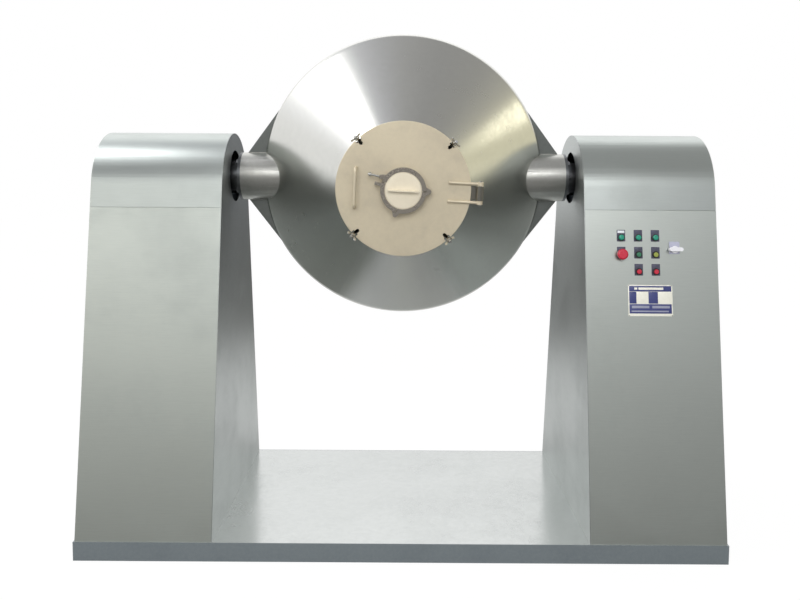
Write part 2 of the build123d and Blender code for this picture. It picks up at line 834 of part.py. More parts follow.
# Swing bolts, leaning outward at rest so that the lid is free
for number, (angle, point) in enumerate(zip(bolt_angles, pivot_points), start=1):
    leaning = side_plane(angle, point, bolt_lean)
    along = Plane(origin=point, x_dir=tuple(leaning.z_dir), z_dir=tuple(leaning.y_dir))
    with BuildPart() as swing_bolt:
        with BuildSketch(along.offset(eye_radius - pivot_clearance)):
            Circle(bolt_radius)
        extrude(amount=bolt_length - eye_radius + pivot_clearance)
        chamfer(swing_bolt.faces().sort_by(Axis(point, tuple(leaning.y_dir)))[-1].edges(),
                length=bolt_radius / 4)
        with BuildSketch(leaning):
            Circle(eye_radius)
        extrude(amount=eye_width / 2, both=True)
        with BuildSketch(leaning):
            Circle(pivot_pin_radius + running_clearance)
        extrude(amount=eye_width, both=True, mode=Mode.SUBTRACT)
    swing_bolt.part.label = f"swing_bolt_{number}"
    export_step(swing_bolt.part, f"parts/swing_bolt_{number}.step")

# Wing nuts on the swing bolts, wings along the rim
for number, (angle, point) in enumerate(zip(bolt_angles, pivot_points), start=1):
    leaning = side_plane(angle, point, bolt_lean)
    along = Plane(origin=point, x_dir=tuple(leaning.z_dir), z_dir=tuple(leaning.y_dir))
    seat = along.offset(nut_seat)
    wing_plane = Plane(origin=seat.origin, x_dir=tuple(seat.x_dir), z_dir=tuple(-leaning.x_dir))
    with BuildPart() as wing_nut:
        with BuildSketch(seat):
            Circle(nut_radius)
        with BuildSketch(seat.offset(nut_height)):
            Circle(nut_top_radius)
        loft()
        with BuildSketch(wing_plane):
            with BuildLine():
                root = nut_top_radius - wing_thickness
                Line((root, wing_start), (wing_reach - wing_start, nut_height / 2))
                ThreePointArc((wing_reach - wing_start, nut_height / 2),
                              (wing_reach, wing_top - wing_start),
                              (wing_reach - wing_start, wing_top))
                Line((wing_reach - wing_start, wing_top), (root, nut_height))
                Line((root, nut_height), (root, wing_start))
            make_face()
            mirror(about=Plane.YZ)
        extrude(amount=wing_thickness / 2, both=True)
        with BuildSketch(seat):
            Circle(bolt_radius + running_clearance)
        extrude(amount=wing_top, mode=Mode.SUBTRACT)
    wing_nut.part.label = f"wing_nut_{number}"
    export_step(wing_nut.part, f"parts/wing_nut_{number}.step")

# Lid: slotted disc with the welded ferrule of the centre port
ferrule_root = ferrule_rim + (ferrule_radius - clamp_inner_radius) * flange_slope
with BuildPart() as lid:
    with BuildSketch(mouth_plane.offset(lid_back)):
        Circle(lid_radius)
    extrude(amount=lid_thickness)
    chamfer(lid.edges().filter_by(GeomType.CIRCLE).sort_by(cone_axis)[-1], length=lid_chamfer)
    with BuildSketch(mouth_plane.offset(lid_back)):
        with PolarLocations(slot_inner + slot_length / 2, bolt_count, start_angle=first_bolt_angle):
            SlotOverall(slot_length, bolt_slot_width)
        with PolarLocations(pocket_inner + pocket_depth, bolt_count, start_angle=first_bolt_angle):
            Rectangle(2 * pocket_depth, 2 * (nut_radius + nut_pocket_gap))
    extrude(amount=lid_thickness, mode=Mode.SUBTRACT)
    with BuildSketch(section_plane):
        with BuildLine():
            Polyline((0, lid_back), (port_tube_radius, lid_back),
                     (port_tube_radius, port_face - ferrule_root - ferrule_rim),
                     (clamp_inner_radius, port_face - ferrule_root),
                     (ferrule_radius, port_face - ferrule_rim),
                     (ferrule_radius, port_face), (0, port_face), close=True)
        make_face()
    revolve(axis=cone_axis)
    with BuildSketch(mouth_plane.offset(lid_back)):
        Circle(port_bore_radius)
    extrude(amount=port_face - lid_back, mode=Mode.SUBTRACT)
lid.part.label = "lid"
export_step(lid.part, "parts/lid.step")

# Two arms of round bar that carry the lid on its hinge pin
with BuildPart() as hinge_arms:
    for side in (-1, 1):
        arm_v = side * arm_spread / 2
        start = mouth_plane.from_local_coords(Vector(arm_start, arm_v, hinge_level))
        eye = mouth_plane.from_local_coords(Vector(hinge_reach, arm_v, hinge_level))
        with BuildSketch(Plane(origin=start, z_dir=tuple(mouth_vector(0)))):
            Circle(arm_radius)
        extrude(amount=hinge_reach - arm_start - hinge_pin_radius)
        with BuildSketch(side_plane(0, eye)):
            Circle(arm_eye_radius)
        extrude(amount=arm_eye_width / 2, both=True)
        with BuildSketch(side_plane(0, eye)):
            Circle(hinge_pin_radius + running_clearance)
        extrude(amount=arm_eye_width, both=True, mode=Mode.SUBTRACT)
hinge_arms.part.label = "hinge_arms"
export_step(hinge_arms.part, "parts/hinge_arms.step")

# Lift handle of bent round bar
handle_origin = mouth_plane.from_local_coords(Vector(-handle_offset, 0, lid_front))
handle_plane = Plane(origin=handle_origin, x_dir=tuple(mouth_vector(90)), z_dir=tuple(mouth_vector(0)))
with BuildPart() as lid_handle:
    with BuildLine(handle_plane) as handle_path:
        FilletPolyline((-handle_length / 2, 0), (-handle_length / 2, handle_stand_off),
                       (handle_length / 2, handle_stand_off), (handle_length / 2, 0),
                       radius=handle_bend)
    with BuildSketch(Plane(origin=handle_path.line @ 0, z_dir=handle_path.line % 0)):
        Circle(handle_rod_radius)
    sweep(path=handle_path.line)
lid_handle.part.label = "lid_handle"
export_step(lid_handle.part, "parts/lid_handle.step")

# Blank cap of the centre port with its flat grip
with BuildPart() as port_cap:
    with BuildSketch(section_plane):
        with BuildLine():
            Polyline((0, port_face), (ferrule_radius, port_face),
                     (ferrule_radius, port_face + ferrule_rim),
                     (clamp_inner_radius, port_face + ferrule_root),
                     (port_tube_radius, port_face + cap_boss_height),
                     (0, port_face + cap_boss_height), close=True)
        make_face()
    revolve(axis=cone_axis)
    with BuildSketch(mouth_plane.offset(port_face + cap_boss_height)):
        SlotOverall(grip_length, grip_thickness)
    extrude(amount=grip_height)
port_cap.part.label = "port_cap"
export_step(port_cap.part, "parts/port_cap.step")

# Three-piece clamp round the port, its section a channel with a tapered groove
port_plane = mouth_plane.offset(port_face)
groove_radius = ferrule_radius + clamp_gap
groove_half = ferrule_rim + clamp_gap
lip_half = ferrule_root + clamp_gap + clamp_gap / 2
clamp_section = [(clamp_inner_radius, -clamp_half_width), (clamp_outer_radius, -clamp_half_width),
                 (clamp_outer_radius, clamp_half_width), (clamp_inner_radius, clamp_half_width),
                 (clamp_inner_radius, lip_half), (groove_radius, groove_half),
                 (groove_radius, -groove_half), (clamp_inner_radius, -lip_half)]
fork_height = clamp_half_width - lug_half_slot
half_hinge_gap = segment_gap_angle / 2
half_closure = closure_gap_angle / 2
segment_b = (hinge_b_angle + half_hinge_gap, closure_angle - half_closure)
segment_c = (closure_angle + half_closure, hinge_c_angle - half_hinge_gap)
segment_a = (hinge_c_angle + half_hinge_gap, 360 + hinge_b_angle - half_hinge_gap)


def port_polar(radius, angle):
    """Coordinates in the port's plane of a point given by radius and angle."""
    return (radius * cos(radians(angle)), radius * sin(radians(angle)))


with BuildPart() as clamp_segment_a:
    with BuildSketch(side_plane(segment_a[0], port_plane.origin)):
        with BuildLine():
            Polyline(*clamp_section, close=True)
        make_face()
    revolve(axis=cone_axis, revolution_arc=segment_a[1] - segment_a[0])
    for low in (-clamp_half_width, lug_half_slot):
        for pin_angle, root in ((hinge_b_angle, -clamp_root_angle), (hinge_c_angle, clamp_root_angle)):
            with BuildSketch(port_plane.offset(low)):
                with Locations(port_polar(clamp_pin_circle, pin_angle)):
                    Circle(clamp_lug_radius)
                with Locations(port_polar(clamp_root_circle, pin_angle + root)):
                    Circle(clamp_root_radius)
                make_hull()
            extrude(amount=fork_height)
    with BuildSketch(port_plane.offset(-clamp_half_width)):
        with Locations(port_polar(clamp_pin_circle, hinge_b_angle),
                       port_polar(clamp_pin_circle, hinge_c_angle)):
            Circle(clamp_pin_radius)
    extrude(amount=2 * clamp_half_width)
clamp_segment_a.part.label = "clamp_segment_a"
export_step(clamp_segment_a.part, "parts/clamp_segment_a.step")

with BuildPart() as clamp_segment_b:
    with BuildSketch(side_plane(segment_b[0], port_plane.origin)):
        with BuildLine():
            Polyline(*clamp_section, close=True)
        make_face()
    revolve(axis=cone_axis, revolution_arc=segment_b[1] - segment_b[0])
    with BuildSketch(port_plane.offset(-clamp_eye_half)):
        with Locations(port_polar(clamp_pin_circle, hinge_b_angle)):
            Circle(clamp_lug_radius)
        with Locations(port_polar(clamp_root_circle, hinge_b_angle + clamp_root_angle)):
            Circle(clamp_root_radius)
        make_hull()
        with Locations(port_polar(clamp_pin_circle, hinge_b_angle)):
            Circle(clamp_pin_radius + running_clearance, mode=Mode.SUBTRACT)
    extrude(amount=2 * clamp_eye_half)
    for low in (-clamp_half_width, lug_half_slot):
        with BuildSketch(port_plane.offset(low)):
            with Locations(port_polar(clamp_pin_circle, clamp_bolt_pivot_angle)):
                Circle(clamp_lug_radius)
            with Locations(port_polar(clamp_root_circle, clamp_bolt_pivot_angle - clamp_root_angle)):
                Circle(clamp_root_radius)
            make_hull()
        extrude(amount=fork_height)
    with BuildSketch(port_plane.offset(-clamp_half_width)):
        with Locations(port_polar(clamp_pin_circle, clamp_bolt_pivot_angle)):
            Circle(clamp_pin_radius)
    extrude(amount=2 * clamp_half_width)
clamp_segment_b.part.label = "clamp_segment_b"
export_step(clamp_segment_b.part, "parts/clamp_segment_b.step")

with BuildPart() as clamp_segment_c:
    with BuildSketch(side_plane(segment_c[0], port_plane.origin)):
        with BuildLine():
            Polyline(*clamp_section, close=True)
        make_face()
    revolve(axis=cone_axis, revolution_arc=segment_c[1] - segment_c[0])
    with BuildSketch(port_plane.offset(-clamp_eye_half)):
        with Locations(port_polar(clamp_pin_circle, hinge_c_angle)):
            Circle(clamp_lug_radius)
        with Locations(port_polar(clamp_root_circle, hinge_c_angle - clamp_root_angle)):
            Circle(clamp_root_radius)
        make_hull()
        with Locations(port_polar(clamp_pin_circle, hinge_c_angle)):
            Circle(clamp_pin_radius + running_clearance, mode=Mode.SUBTRACT)
    extrude(amount=2 * clamp_eye_half)
    for low in (-clamp_half_width, lug_half_slot):
        with BuildSketch(port_plane.offset(low)):
            with PolarLocations((clamp_root_circle + clamp_lug_tip) / 2, 1, start_angle=clamp_lug_angle):
                Rectangle(clamp_lug_tip - clamp_root_circle, clamp_lug_thickness)
        extrude(amount=fork_height)
clamp_segment_c.part.label = "clamp_segment_c"
export_step(clamp_segment_c.part, "parts/clamp_segment_c.step")

# Clamp bolt with its wing nut, swung out of the fork at rest
clamp_pivot = port_plane.from_local_coords(
    Vector(*port_polar(clamp_pin_circle, clamp_bolt_pivot_angle), 0))
fork_middle = port_plane.from_local_coords(
    Vector(*port_polar(clamp_pin_circle, clamp_lug_angle), 0))
fork_corner_angle = clamp_lug_angle + degrees(atan(clamp_lug_thickness / 2 / clamp_lug_tip))
fork_corner = port_plane.from_local_coords(
    Vector(*port_polar(hypot(clamp_lug_tip, clamp_lug_thickness / 2), fork_corner_angle), 0))
closed_way = fork_middle - clamp_pivot
clamp_nut_seat = (fork_corner - clamp_pivot).length + clamp_gap
open_way = closed_way.normalized().rotate(Axis(centre, tuple(mouth_direction)), -clamp_bolt_swing)
clamp_along = Plane(origin=clamp_pivot, x_dir=tuple(mouth_direction), z_dir=tuple(open_way))
clamp_eye_plane = Plane(origin=clamp_pivot, x_dir=tuple(open_way), z_dir=tuple(mouth_direction))
with BuildPart() as clamp_bolt:
    with BuildSketch(clamp_along.offset(clamp_lug_radius - pivot_clearance)):
        Circle(clamp_bolt_radius)
    extrude(amount=clamp_bolt_length - clamp_lug_radius + pivot_clearance)
    with BuildSketch(clamp_eye_plane):
        Circle(clamp_lug_radius)
    extrude(amount=clamp_eye_half, both=True)
    with BuildSketch(clamp_eye_plane):
        Circle(clamp_pin_radius + running_clearance)
    extrude(amount=clamp_eye_half, both=True, mode=Mode.SUBTRACT)
    with BuildSketch(clamp_along.offset(clamp_nut_seat)):
        Circle(clamp_nut_radius)
        Rectangle(2 * clamp_nut_wing_reach, wing_thickness)
        Circle(clamp_bolt_radius + running_clearance, mode=Mode.SUBTRACT)
    extrude(amount=clamp_nut_height)
clamp_bolt.part.label = "clamp_bolt"
export_step(clamp_bolt.part, "parts/clamp_bolt.step")

# Trunnion hubs, cut to the shape of the vessel
with BuildPart() as right_hub:
    with BuildSketch(Plane.YZ.offset(gusset_root - hub_radius)):
        with Locations((0, axis_height)):
            Circle(hub_radius)
            Circle(hub_radius - hub_wall, mode=Mode.SUBTRACT)
    extrude(amount=hub_end - gusset_root + hub_radius)
    with BuildSketch(section_plane):
        with BuildLine():
            envelope_height = section_height + hub_radius
            envelope_radius = section_radius - hub_radius * slope
            ThreePointArc((section_radius, section_height), (vessel_radius, 0),
                          (section_radius, -section_height))
            Polyline((section_radius, -section_height), (envelope_radius, -envelope_height),
                     (0, -envelope_height), (0, envelope_height),
                     (envelope_radius, envelope_height), (section_radius, section_height))
        make_face()
    revolve(axis=cone_axis, mode=Mode.SUBTRACT)
right_hub.part.label = "right_hub"
export_step(right_hub.part, "parts/right_hub.step")

with BuildPart() as left_hub:
    mirror(right_hub.part, about=Plane.YZ)
left_hub.part.label = "left_hub"
export_step(left_hub.part, "parts/left_hub.step")

# Gusset plates between the hubs and the belt
gusset_run = gusset_reach - gusset_root
with BuildPart() as hub_gussets:
    with BuildSketch(vessel_plane):
        for side in (-1, 1):
            for way in (-1, 1):
                with BuildLine():
                    top = way * (hub_radius + gusset_run * tan(radians(gusset_slope)))
                    Polyline((side * gusset_reach, way * hub_radius), (side * gusset_root, top),
                             (side * gusset_root, way * hub_radius), close=True)
                make_face()
        Circle(vessel_radius, mode=Mode.SUBTRACT)
    extrude(amount=gusset_thickness / 2, both=True)
hub_gussets.part.label = "hub_gussets"
export_step(hub_gussets.part, "parts/hub_gussets.step")

# Trunnion shafts with their flanges
with BuildPart() as right_shaft:
    with BuildSketch(Plane.YZ.offset(hub_end)):
        with Locations((0, axis_height)):
            Circle(hub_radius)
    extrude(amount=shaft_flange_thickness)
    with BuildSketch(Plane.YZ.offset(hub_end)):
        with Locations((0, axis_height)):
            Circle(shaft_radius)
    extrude(amount=journal_start - hub_end)
    with BuildSketch(Plane.YZ.offset(journal_start)):
        with Locations((0, axis_height)):
            Circle(journal_radius)
    extrude(amount=journal_end - journal_start)
    with BuildSketch(Plane.YZ.offset(journal_end)):
        with Locations((0, axis_height)):
            Circle(drive_journal_radius)
    extrude(amount=drive_shaft_end - journal_end)
right_shaft.part.label = "right_shaft"
export_step(right_shaft.part, "parts/right_shaft.step")

with BuildPart() as left_shaft:
    with BuildSketch(Plane.YZ.offset(-hub_end)):
        with Locations((0, axis_height)):
            Circle(hub_radius)
    extrude(amount=-shaft_flange_thickness)
    with BuildSketch(Plane.YZ.offset(-hub_end)):
        with Locations((0, axis_height)):
            Circle(shaft_radius)
    extrude(amount=hub_end - journal_start)
    with BuildSketch(Plane.YZ.offset(-journal_start)):
        with Locations((0, axis_height)):
            Circle(journal_radius)
    extrude(amount=journal_start - journal_end)
left_shaft.part.label = "left_shaft"
export_step(left_shaft.part, "parts/left_shaft.step")

with BuildPart() as shaft_bolts:
    for side in (-1, 1):
        with BuildSketch(Plane.YZ.offset(side * (hub_end + shaft_flange_thickness))):
            with Locations((0, axis_height)):
                with PolarLocations(shaft_bolt_radius, shaft_flange_bolts):
                    RegularPolygon(hex_radius, 6)
        extrude(amount=side * hex_height)
shaft_bolts.part.label = "shaft_bolts"
export_step(shaft_bolts.part, "parts/shaft_bolts.step")

# Discharge: butterfly valve body, its disc with the stem, lever and spigot
valve_middle = outlet_face + valve_body_length / 2
valve_end = outlet_face + valve_body_length
stem_plane = Plane(origin=rear_plane.from_local_coords(Vector(0, 0, valve_middle)),
                   x_dir=tuple(rear_plane.y_dir), z_dir=(1, 0, 0))
boss_end = valve_body_radius + stem_boss_length
grip_start = lever_length - lever_grip_length
with BuildPart() as valve_body:
    with BuildSketch(rear_plane.offset(outlet_face)):
        Circle(valve_body_radius)
    extrude(amount=valve_body_length)
    with BuildSketch(stem_plane):
        Circle(stem_boss_radius - pivot_clearance)
    extrude(amount=boss_end, both=True)
    with BuildSketch(rear_plane.offset(outlet_face)):
        Circle(valve_bore_radius)
    extrude(amount=valve_body_length, mode=Mode.SUBTRACT)
    with BuildSketch(stem_plane):
        Circle(stem_radius + running_clearance)
    extrude(amount=boss_end, both=True, mode=Mode.SUBTRACT)
valve_body.part.label = "valve_body"
export_step(valve_body.part, "parts/valve_body.step")

with BuildPart() as valve_disc:
    with BuildSketch(rear_plane.offset(valve_middle)):
        Circle(valve_bore_radius - valve_disc_gap)
    extrude(amount=valve_disc_thickness / 2, both=True)
    with BuildSketch(stem_plane.offset(-boss_end)):
        Circle(stem_radius)
    extrude(amount=boss_end + stem_end)
valve_disc.part.label = "valve_disc"
export_step(valve_disc.part, "parts/valve_disc.step")

with BuildPart() as valve_lever:
    lever_plane = stem_plane.offset(stem_end - lever_thickness)
    with BuildSketch(lever_plane):
        Circle(stem_boss_radius)
        with Locations((-grip_start - lever_thickness, 0)):
            Rectangle(grip_start + lever_thickness, lever_width, align=(Align.MIN, Align.CENTER))
        Circle(stem_radius, mode=Mode.SUBTRACT)
    extrude(amount=-lever_thickness)
    grip_origin = lever_plane.from_local_coords(Vector(-grip_start, 0, -lever_thickness / 2))
    with BuildSketch(Plane(origin=grip_origin, z_dir=tuple(-stem_plane.x_dir))):
        Circle(lever_grip_radius)
    extrude(amount=lever_grip_length)
    fillet(valve_lever.faces().sort_by(Axis.Z)[-1].edges(), radius=lever_grip_radius / 3)
valve_lever.part.label = "valve_lever"
export_step(valve_lever.part, "parts/valve_lever.step")

with BuildPart() as outlet_spigot:
    with BuildSketch(rear_plane.offset(valve_end)):
        Circle(spigot_flange_radius)
    extrude(amount=spigot_flange_thickness)
    with BuildSketch(rear_plane.offset(valve_end)):
        Circle(valve_bore_radius + spigot_wall)
    extrude(amount=spigot_length)
    with BuildSketch(rear_plane.offset(valve_end)):
        Circle(valve_bore_radius)
    extrude(amount=spigot_length, mode=Mode.SUBTRACT)
outlet_spigot.part.label = "outlet_spigot"
export_step(outlet_spigot.part, "parts/outlet_spigot.step")

# Operating elements: legend plates, fixed bodies, lamp lenses
bezel_face = legend_sheet + bezel_height
cap_well_depth = cap_depth + cap_travel + pivot_clearance
with BuildPart() as legend_plates:
    with BuildSketch(front_panel_plane):
        with Locations(*[(x, y + legend_centre) for x, y in control_points]):
            RectangleRounded(legend_width, legend_height, legend_sheet)
        with Locations(*control_points):
            Circle(control_hole_radius, mode=Mode.SUBTRACT)
    extrude(amount=legend_sheet)
legend_plates.part.label = "legend_plates"
export_step(legend_plates.part, "parts/legend_plates.step")

switch_point = (switch_x, switch_slope)
with BuildPart() as control_bodies:
    with BuildSketch(front_panel_plane.offset(legend_sheet)):
        with Locations(*control_points):
            Circle(bezel_radius)
    extrude(amount=bezel_height)
    with BuildSketch(front_panel_plane.offset(-barrel_length)):
        with Locations(*control_points):
            Circle(barrel_radius)
    extrude(amount=barrel_length + legend_sheet)
    with BuildSketch(front_panel_plane.offset(bezel_face)):
        with Locations(*button_points):
            Circle(cap_radius + cap_clearance)
    extrude(amount=-cap_well_depth, mode=Mode.SUBTRACT)
    with BuildSketch(front_panel_plane.offset(bezel_face)):
        with Locations(stop_point):
            Circle(mushroom_stem_radius + cap_clearance)
    extrude(amount=-cap_well_depth, mode=Mode.SUBTRACT)
    with BuildSketch(front_panel_plane):
        with Locations((switch_x, switch_slope + legend_centre)):
            RectangleRounded(switch_plate_width, switch_plate_height, switch_plate_sheet)
    extrude(amount=switch_plate_sheet)
    with BuildSketch(front_panel_plane.offset(-barrel_length)):
        with Locations(switch_point):
            Circle(barrel_radius)
    extrude(amount=barrel_length)
    with BuildSketch(front_panel_plane.offset(switch_plate_sheet)):
        with Locations(switch_point):
            Circle(switch_spindle_radius + cap_clearance)
    extrude(amount=-cap_well_depth, mode=Mode.SUBTRACT)
control_bodies.part.label = "control_bodies"
export_step(control_bodies.part, "parts/control_bodies.step")

with BuildPart() as lamp_lenses:
    with BuildSketch(front_panel_plane.offset(bezel_face)):
        with Locations(*lamp_points):
            Circle(lens_radius)
    extrude(amount=lens_height)
    fillet(lamp_lenses.faces().filter_by(front_panel_plane).group_by(Axis.Y)[0].edges(),
           radius=lens_height / 2)
lamp_lenses.part.label = "lamp_lenses"
export_step(lamp_lenses.part, "parts/lamp_lenses.step")

# Push buttons
button_names = ["start_button", "jog_button", "stop_button", "reset_button"]
for name, point in zip(button_names, button_points):
    with BuildPart() as button:
        with BuildSketch(front_panel_plane.offset(bezel_face - cap_depth)):
            with Locations(point):
                Circle(cap_radius)
        extrude(amount=cap_depth + cap_height)
        fillet(button.edges().filter_by(GeomType.CIRCLE).sort_by(Axis.Y)[0], radius=cap_height / 4)
    button.part.label = name
    export_step(button.part, f"parts/{name}.step")

# Emergency stop: mushroom head on its stem
with BuildPart() as stop_mushroom:
    with BuildSketch(front_panel_plane.offset(bezel_face - cap_depth)):
        with Locations(stop_point):
            Circle(mushroom_stem_radius)
    extrude(amount=cap_depth + mushroom_lift)
    with BuildSketch(front_panel_plane.offset(bezel_face + mushroom_lift)):
        with Locations(stop_point):
            Circle(mushroom_radius)
    extrude(amount=mushroom_height)
    fillet(stop_mushroom.edges().filter_by(GeomType.CIRCLE).sort_by(Axis.Y)[0],
           radius=mushroom_height / 2)
stop_mushroom.part.label = "stop_mushroom"
export_step(stop_mushroom.part, "parts/stop_mushroom.step")

# Main switch: boss and bar handle on a spindle
with BuildPart() as switch_handle:
    with BuildSketch(front_panel_plane.offset(switch_plate_sheet - cap_depth)):
        with Locations(switch_point):
            Circle(switch_spindle_radius)
    extrude(amount=cap_depth + seal_gap)
    with BuildSketch(front_panel_plane.offset(switch_plate_sheet + seal_gap)):
        with Locations(switch_point):
            Circle(switch_boss_radius)
    extrude(amount=switch_boss_height)
    with BuildSketch(front_panel_plane.offset(switch_plate_sheet + seal_gap + switch_boss_height)):
        with Locations(switch_point):
            SlotOverall(switch_bar_length, switch_bar_width)
    extrude(amount=switch_bar_depth)
switch_handle.part.label = "switch_handle"
export_step(switch_handle.part, "parts/switch_handle.step")
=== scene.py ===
# %% [markdown]
# # A double cone mixer
# Two satin steel stands carry a double cone vessel on trunnions. The solids come from the CAD
# model as a fixed frame. This script gives them their finishes, adds the thin pieces that the
# solids leave out, and sets the camera and the studio round them.

# %% Load the frame
import json
from math import asin, atan, cos, degrees, hypot, pi, radians, sin

import bmesh
import bpy
from mathutils import Matrix, Vector


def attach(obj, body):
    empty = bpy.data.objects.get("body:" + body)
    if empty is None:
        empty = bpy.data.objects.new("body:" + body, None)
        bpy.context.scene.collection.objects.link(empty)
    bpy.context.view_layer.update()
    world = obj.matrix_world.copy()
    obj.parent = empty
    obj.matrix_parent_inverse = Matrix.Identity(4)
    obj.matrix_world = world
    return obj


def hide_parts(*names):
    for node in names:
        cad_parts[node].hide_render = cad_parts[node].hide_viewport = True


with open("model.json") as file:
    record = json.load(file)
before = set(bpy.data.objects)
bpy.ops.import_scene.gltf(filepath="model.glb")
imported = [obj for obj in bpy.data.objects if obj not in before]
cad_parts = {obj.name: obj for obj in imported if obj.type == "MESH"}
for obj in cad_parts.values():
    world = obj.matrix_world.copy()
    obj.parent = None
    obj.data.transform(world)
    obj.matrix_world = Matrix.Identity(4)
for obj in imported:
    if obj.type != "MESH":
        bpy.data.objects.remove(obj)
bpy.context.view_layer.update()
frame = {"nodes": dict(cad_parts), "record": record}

bpy.ops.object.select_all(action="DESELECT")

# %% [markdown]
# The photograph was taken from the front at chest height, with a moderately wide lens that looks
# slightly down. A camera that is tilted makes upright edges lean, so the picture's own lean tells
# the tilt. The frame was cropped above the middle, which is what the small vertical shift does.

# %% Camera
camera_data = bpy.data.cameras.new("camera")
camera_data.sensor_width = 36
camera_data.lens = 34.2
camera_data.shift_y = -0.0839
camera = bpy.data.objects.new("camera", camera_data)
bpy.context.scene.collection.objects.link(camera)
look_down = radians(90 - 4.27)
roll = radians(0.35)
stand_at = Matrix.Translation((-0.011, -3.371, 1.505))
camera.matrix_world = stand_at @ Matrix.Rotation(look_down, 4, "X") @ Matrix.Rotation(roll, 4, "Z")
bpy.context.scene.camera = camera
print("camera at", [round(v, 3) for v in camera.location])

# %% [markdown]
# Every finish needs small changes over its surface: the grain that rolling and brushing leave, the
# soft dents of thin sheet, and the cloudy marks of hands and cleaning cloths. They could be painted
# as pictures, but noise on object coordinates needs no unwrapping and has the same scale on every
# piece. Each effect is one node group that all materials share.

# %% Shader groups
def new_group(name, inputs, outputs):
    """An empty node group. An input whose default is None takes a vector."""
    group = bpy.data.node_groups.new(name, "ShaderNodeTree")
    for socket, default in inputs.items():
        kind = "NodeSocketVector" if default is None else "NodeSocketFloat"
        made = group.interface.new_socket(name=socket, in_out="INPUT", socket_type=kind)
        if default is not None:
            made.default_value = default
    for socket in outputs:
        group.interface.new_socket(name=socket, in_out="OUTPUT", socket_type="NodeSocketFloat")
    return group, group.nodes.new("NodeGroupInput"), group.nodes.new("NodeGroupOutput")


def noise_node(tree, vector, scale, detail, roughness=0.5):
    """Noise from 0 to 1. The scale is a number or another node's output."""
    node = tree.nodes.new("ShaderNodeTexNoise")
    node.inputs["Detail"].default_value = detail
    node.inputs["Roughness"].default_value = roughness
    tree.links.new(vector, node.inputs["Vector"])
    if isinstance(scale, (int, float)):
        node.inputs["Scale"].default_value = scale
    else:
        tree.links.new(scale, node.inputs["Scale"])
    return node.outputs["Fac"]


def math_node(tree, operation, first, second=0.0, clamp=False):
    """One operation on two numbers or outputs."""
    node = tree.nodes.new("ShaderNodeMath")
    node.operation = operation
    node.use_clamp = clamp
    for socket, value in zip(node.inputs, (first, second)):
        if isinstance(value, (int, float)):
            socket.default_value = value
        else:
            tree.links.new(value, socket)
    return node.outputs[0]


def ramp_node(tree, value, low, high):
    """A soft step from 0 at low to 1 at high."""
    node = tree.nodes.new("ShaderNodeMapRange")
    node.interpolation_type = "SMOOTHSTEP"
    node.inputs["From Min"].default_value = low
    node.inputs["From Max"].default_value = high
    tree.links.new(value, node.inputs["Value"])
    return node.outputs["Result"]


finer, closer, mark_gain = 3.7, 5.3, 1.6
grain_group, source, result = new_group("fine_grain", {"Vector": None, "Scale": 60.0},
                                        ["Shade", "Height"])
vector, scale = source.outputs["Vector"], source.outputs["Scale"]
coarse = noise_node(grain_group, vector, scale, 2)
fine_scale = math_node(grain_group, "MULTIPLY", scale, finer)
fine = noise_node(grain_group, vector, fine_scale, 4, 0.7)
mixed = math_node(grain_group, "MULTIPLY", math_node(grain_group, "ADD", coarse, fine), 0.5)
grain_group.links.new(ramp_node(grain_group, mixed, 0.3, 0.7), result.inputs["Shade"])
grain_group.links.new(mixed, result.inputs["Height"])

dent_group, source, result = new_group("soft_dents", {"Vector": None, "Scale": 2.0}, ["Height"])
vector, scale = source.outputs["Vector"], source.outputs["Scale"]
dent_group.links.new(noise_node(dent_group, vector, scale, 1, 0.35), result.inputs["Height"])

mark_group, source, result = new_group("hand_marks", {"Vector": None, "Scale": 5.0}, ["Mask"])
vector, scale = source.outputs["Vector"], source.outputs["Scale"]
cloud = noise_node(mark_group, vector, scale, 5, 0.62)
smear_scale = math_node(mark_group, "MULTIPLY", scale, closer)
smear = noise_node(mark_group, vector, smear_scale, 3, 0.55)
both = math_node(mark_group, "MULTIPLY", ramp_node(mark_group, cloud, 0.42, 0.68), smear)
mask = math_node(mark_group, "MULTIPLY", both, mark_gain, clamp=True)
mark_group.links.new(mask, result.inputs["Mask"])

bend_scale, bend = 3.0, 0.35
line_width, patch_scale = 0.012, 2.4
scratch_group, source, result = new_group("thin_scratches", {"Vector": None, "Scale": 9.0},
                                          ["Mask"])
vector, scale = source.outputs["Vector"], source.outputs["Scale"]
bent = scratch_group.nodes.new("ShaderNodeTexNoise")
bent.inputs["Scale"].default_value = bend_scale
scratch_group.links.new(vector, bent.inputs["Vector"])
shifted = scratch_group.nodes.new("ShaderNodeVectorMath")
shifted.operation = "MULTIPLY_ADD"
scratch_group.links.new(bent.outputs["Color"], shifted.inputs[0])
shifted.inputs[1].default_value = (bend, bend, bend)
scratch_group.links.new(vector, shifted.inputs[2])
cells = scratch_group.nodes.new("ShaderNodeTexVoronoi")
cells.feature = "DISTANCE_TO_EDGE"
scratch_group.links.new(scale, cells.inputs["Scale"])
scratch_group.links.new(shifted.outputs[0], cells.inputs["Vector"])
line = ramp_node(scratch_group, cells.outputs["Distance"], line_width, 0.0)
patchy = noise_node(scratch_group, vector, patch_scale, 2)
kept = math_node(scratch_group, "MULTIPLY", line, ramp_node(scratch_group, patchy, 0.5, 0.6))
scratch_group.links.new(kept, result.inputs["Mask"])
print("shader groups:", len(bpy.data.node_groups))

# %% [markdown]
# One function then makes all finishes. A finish is a base colour that clouds towards a second one,
# a roughness that the grain and the marks shift, and a bump from grain, dents and scratches. The
# grain is stretched by a Mapping node, because brushed steel has lines and cast paint has pores.

# %% Finishes
grain_depth, scratch_depth, scratch_scale = 0.0006, 0.0004, 9.0


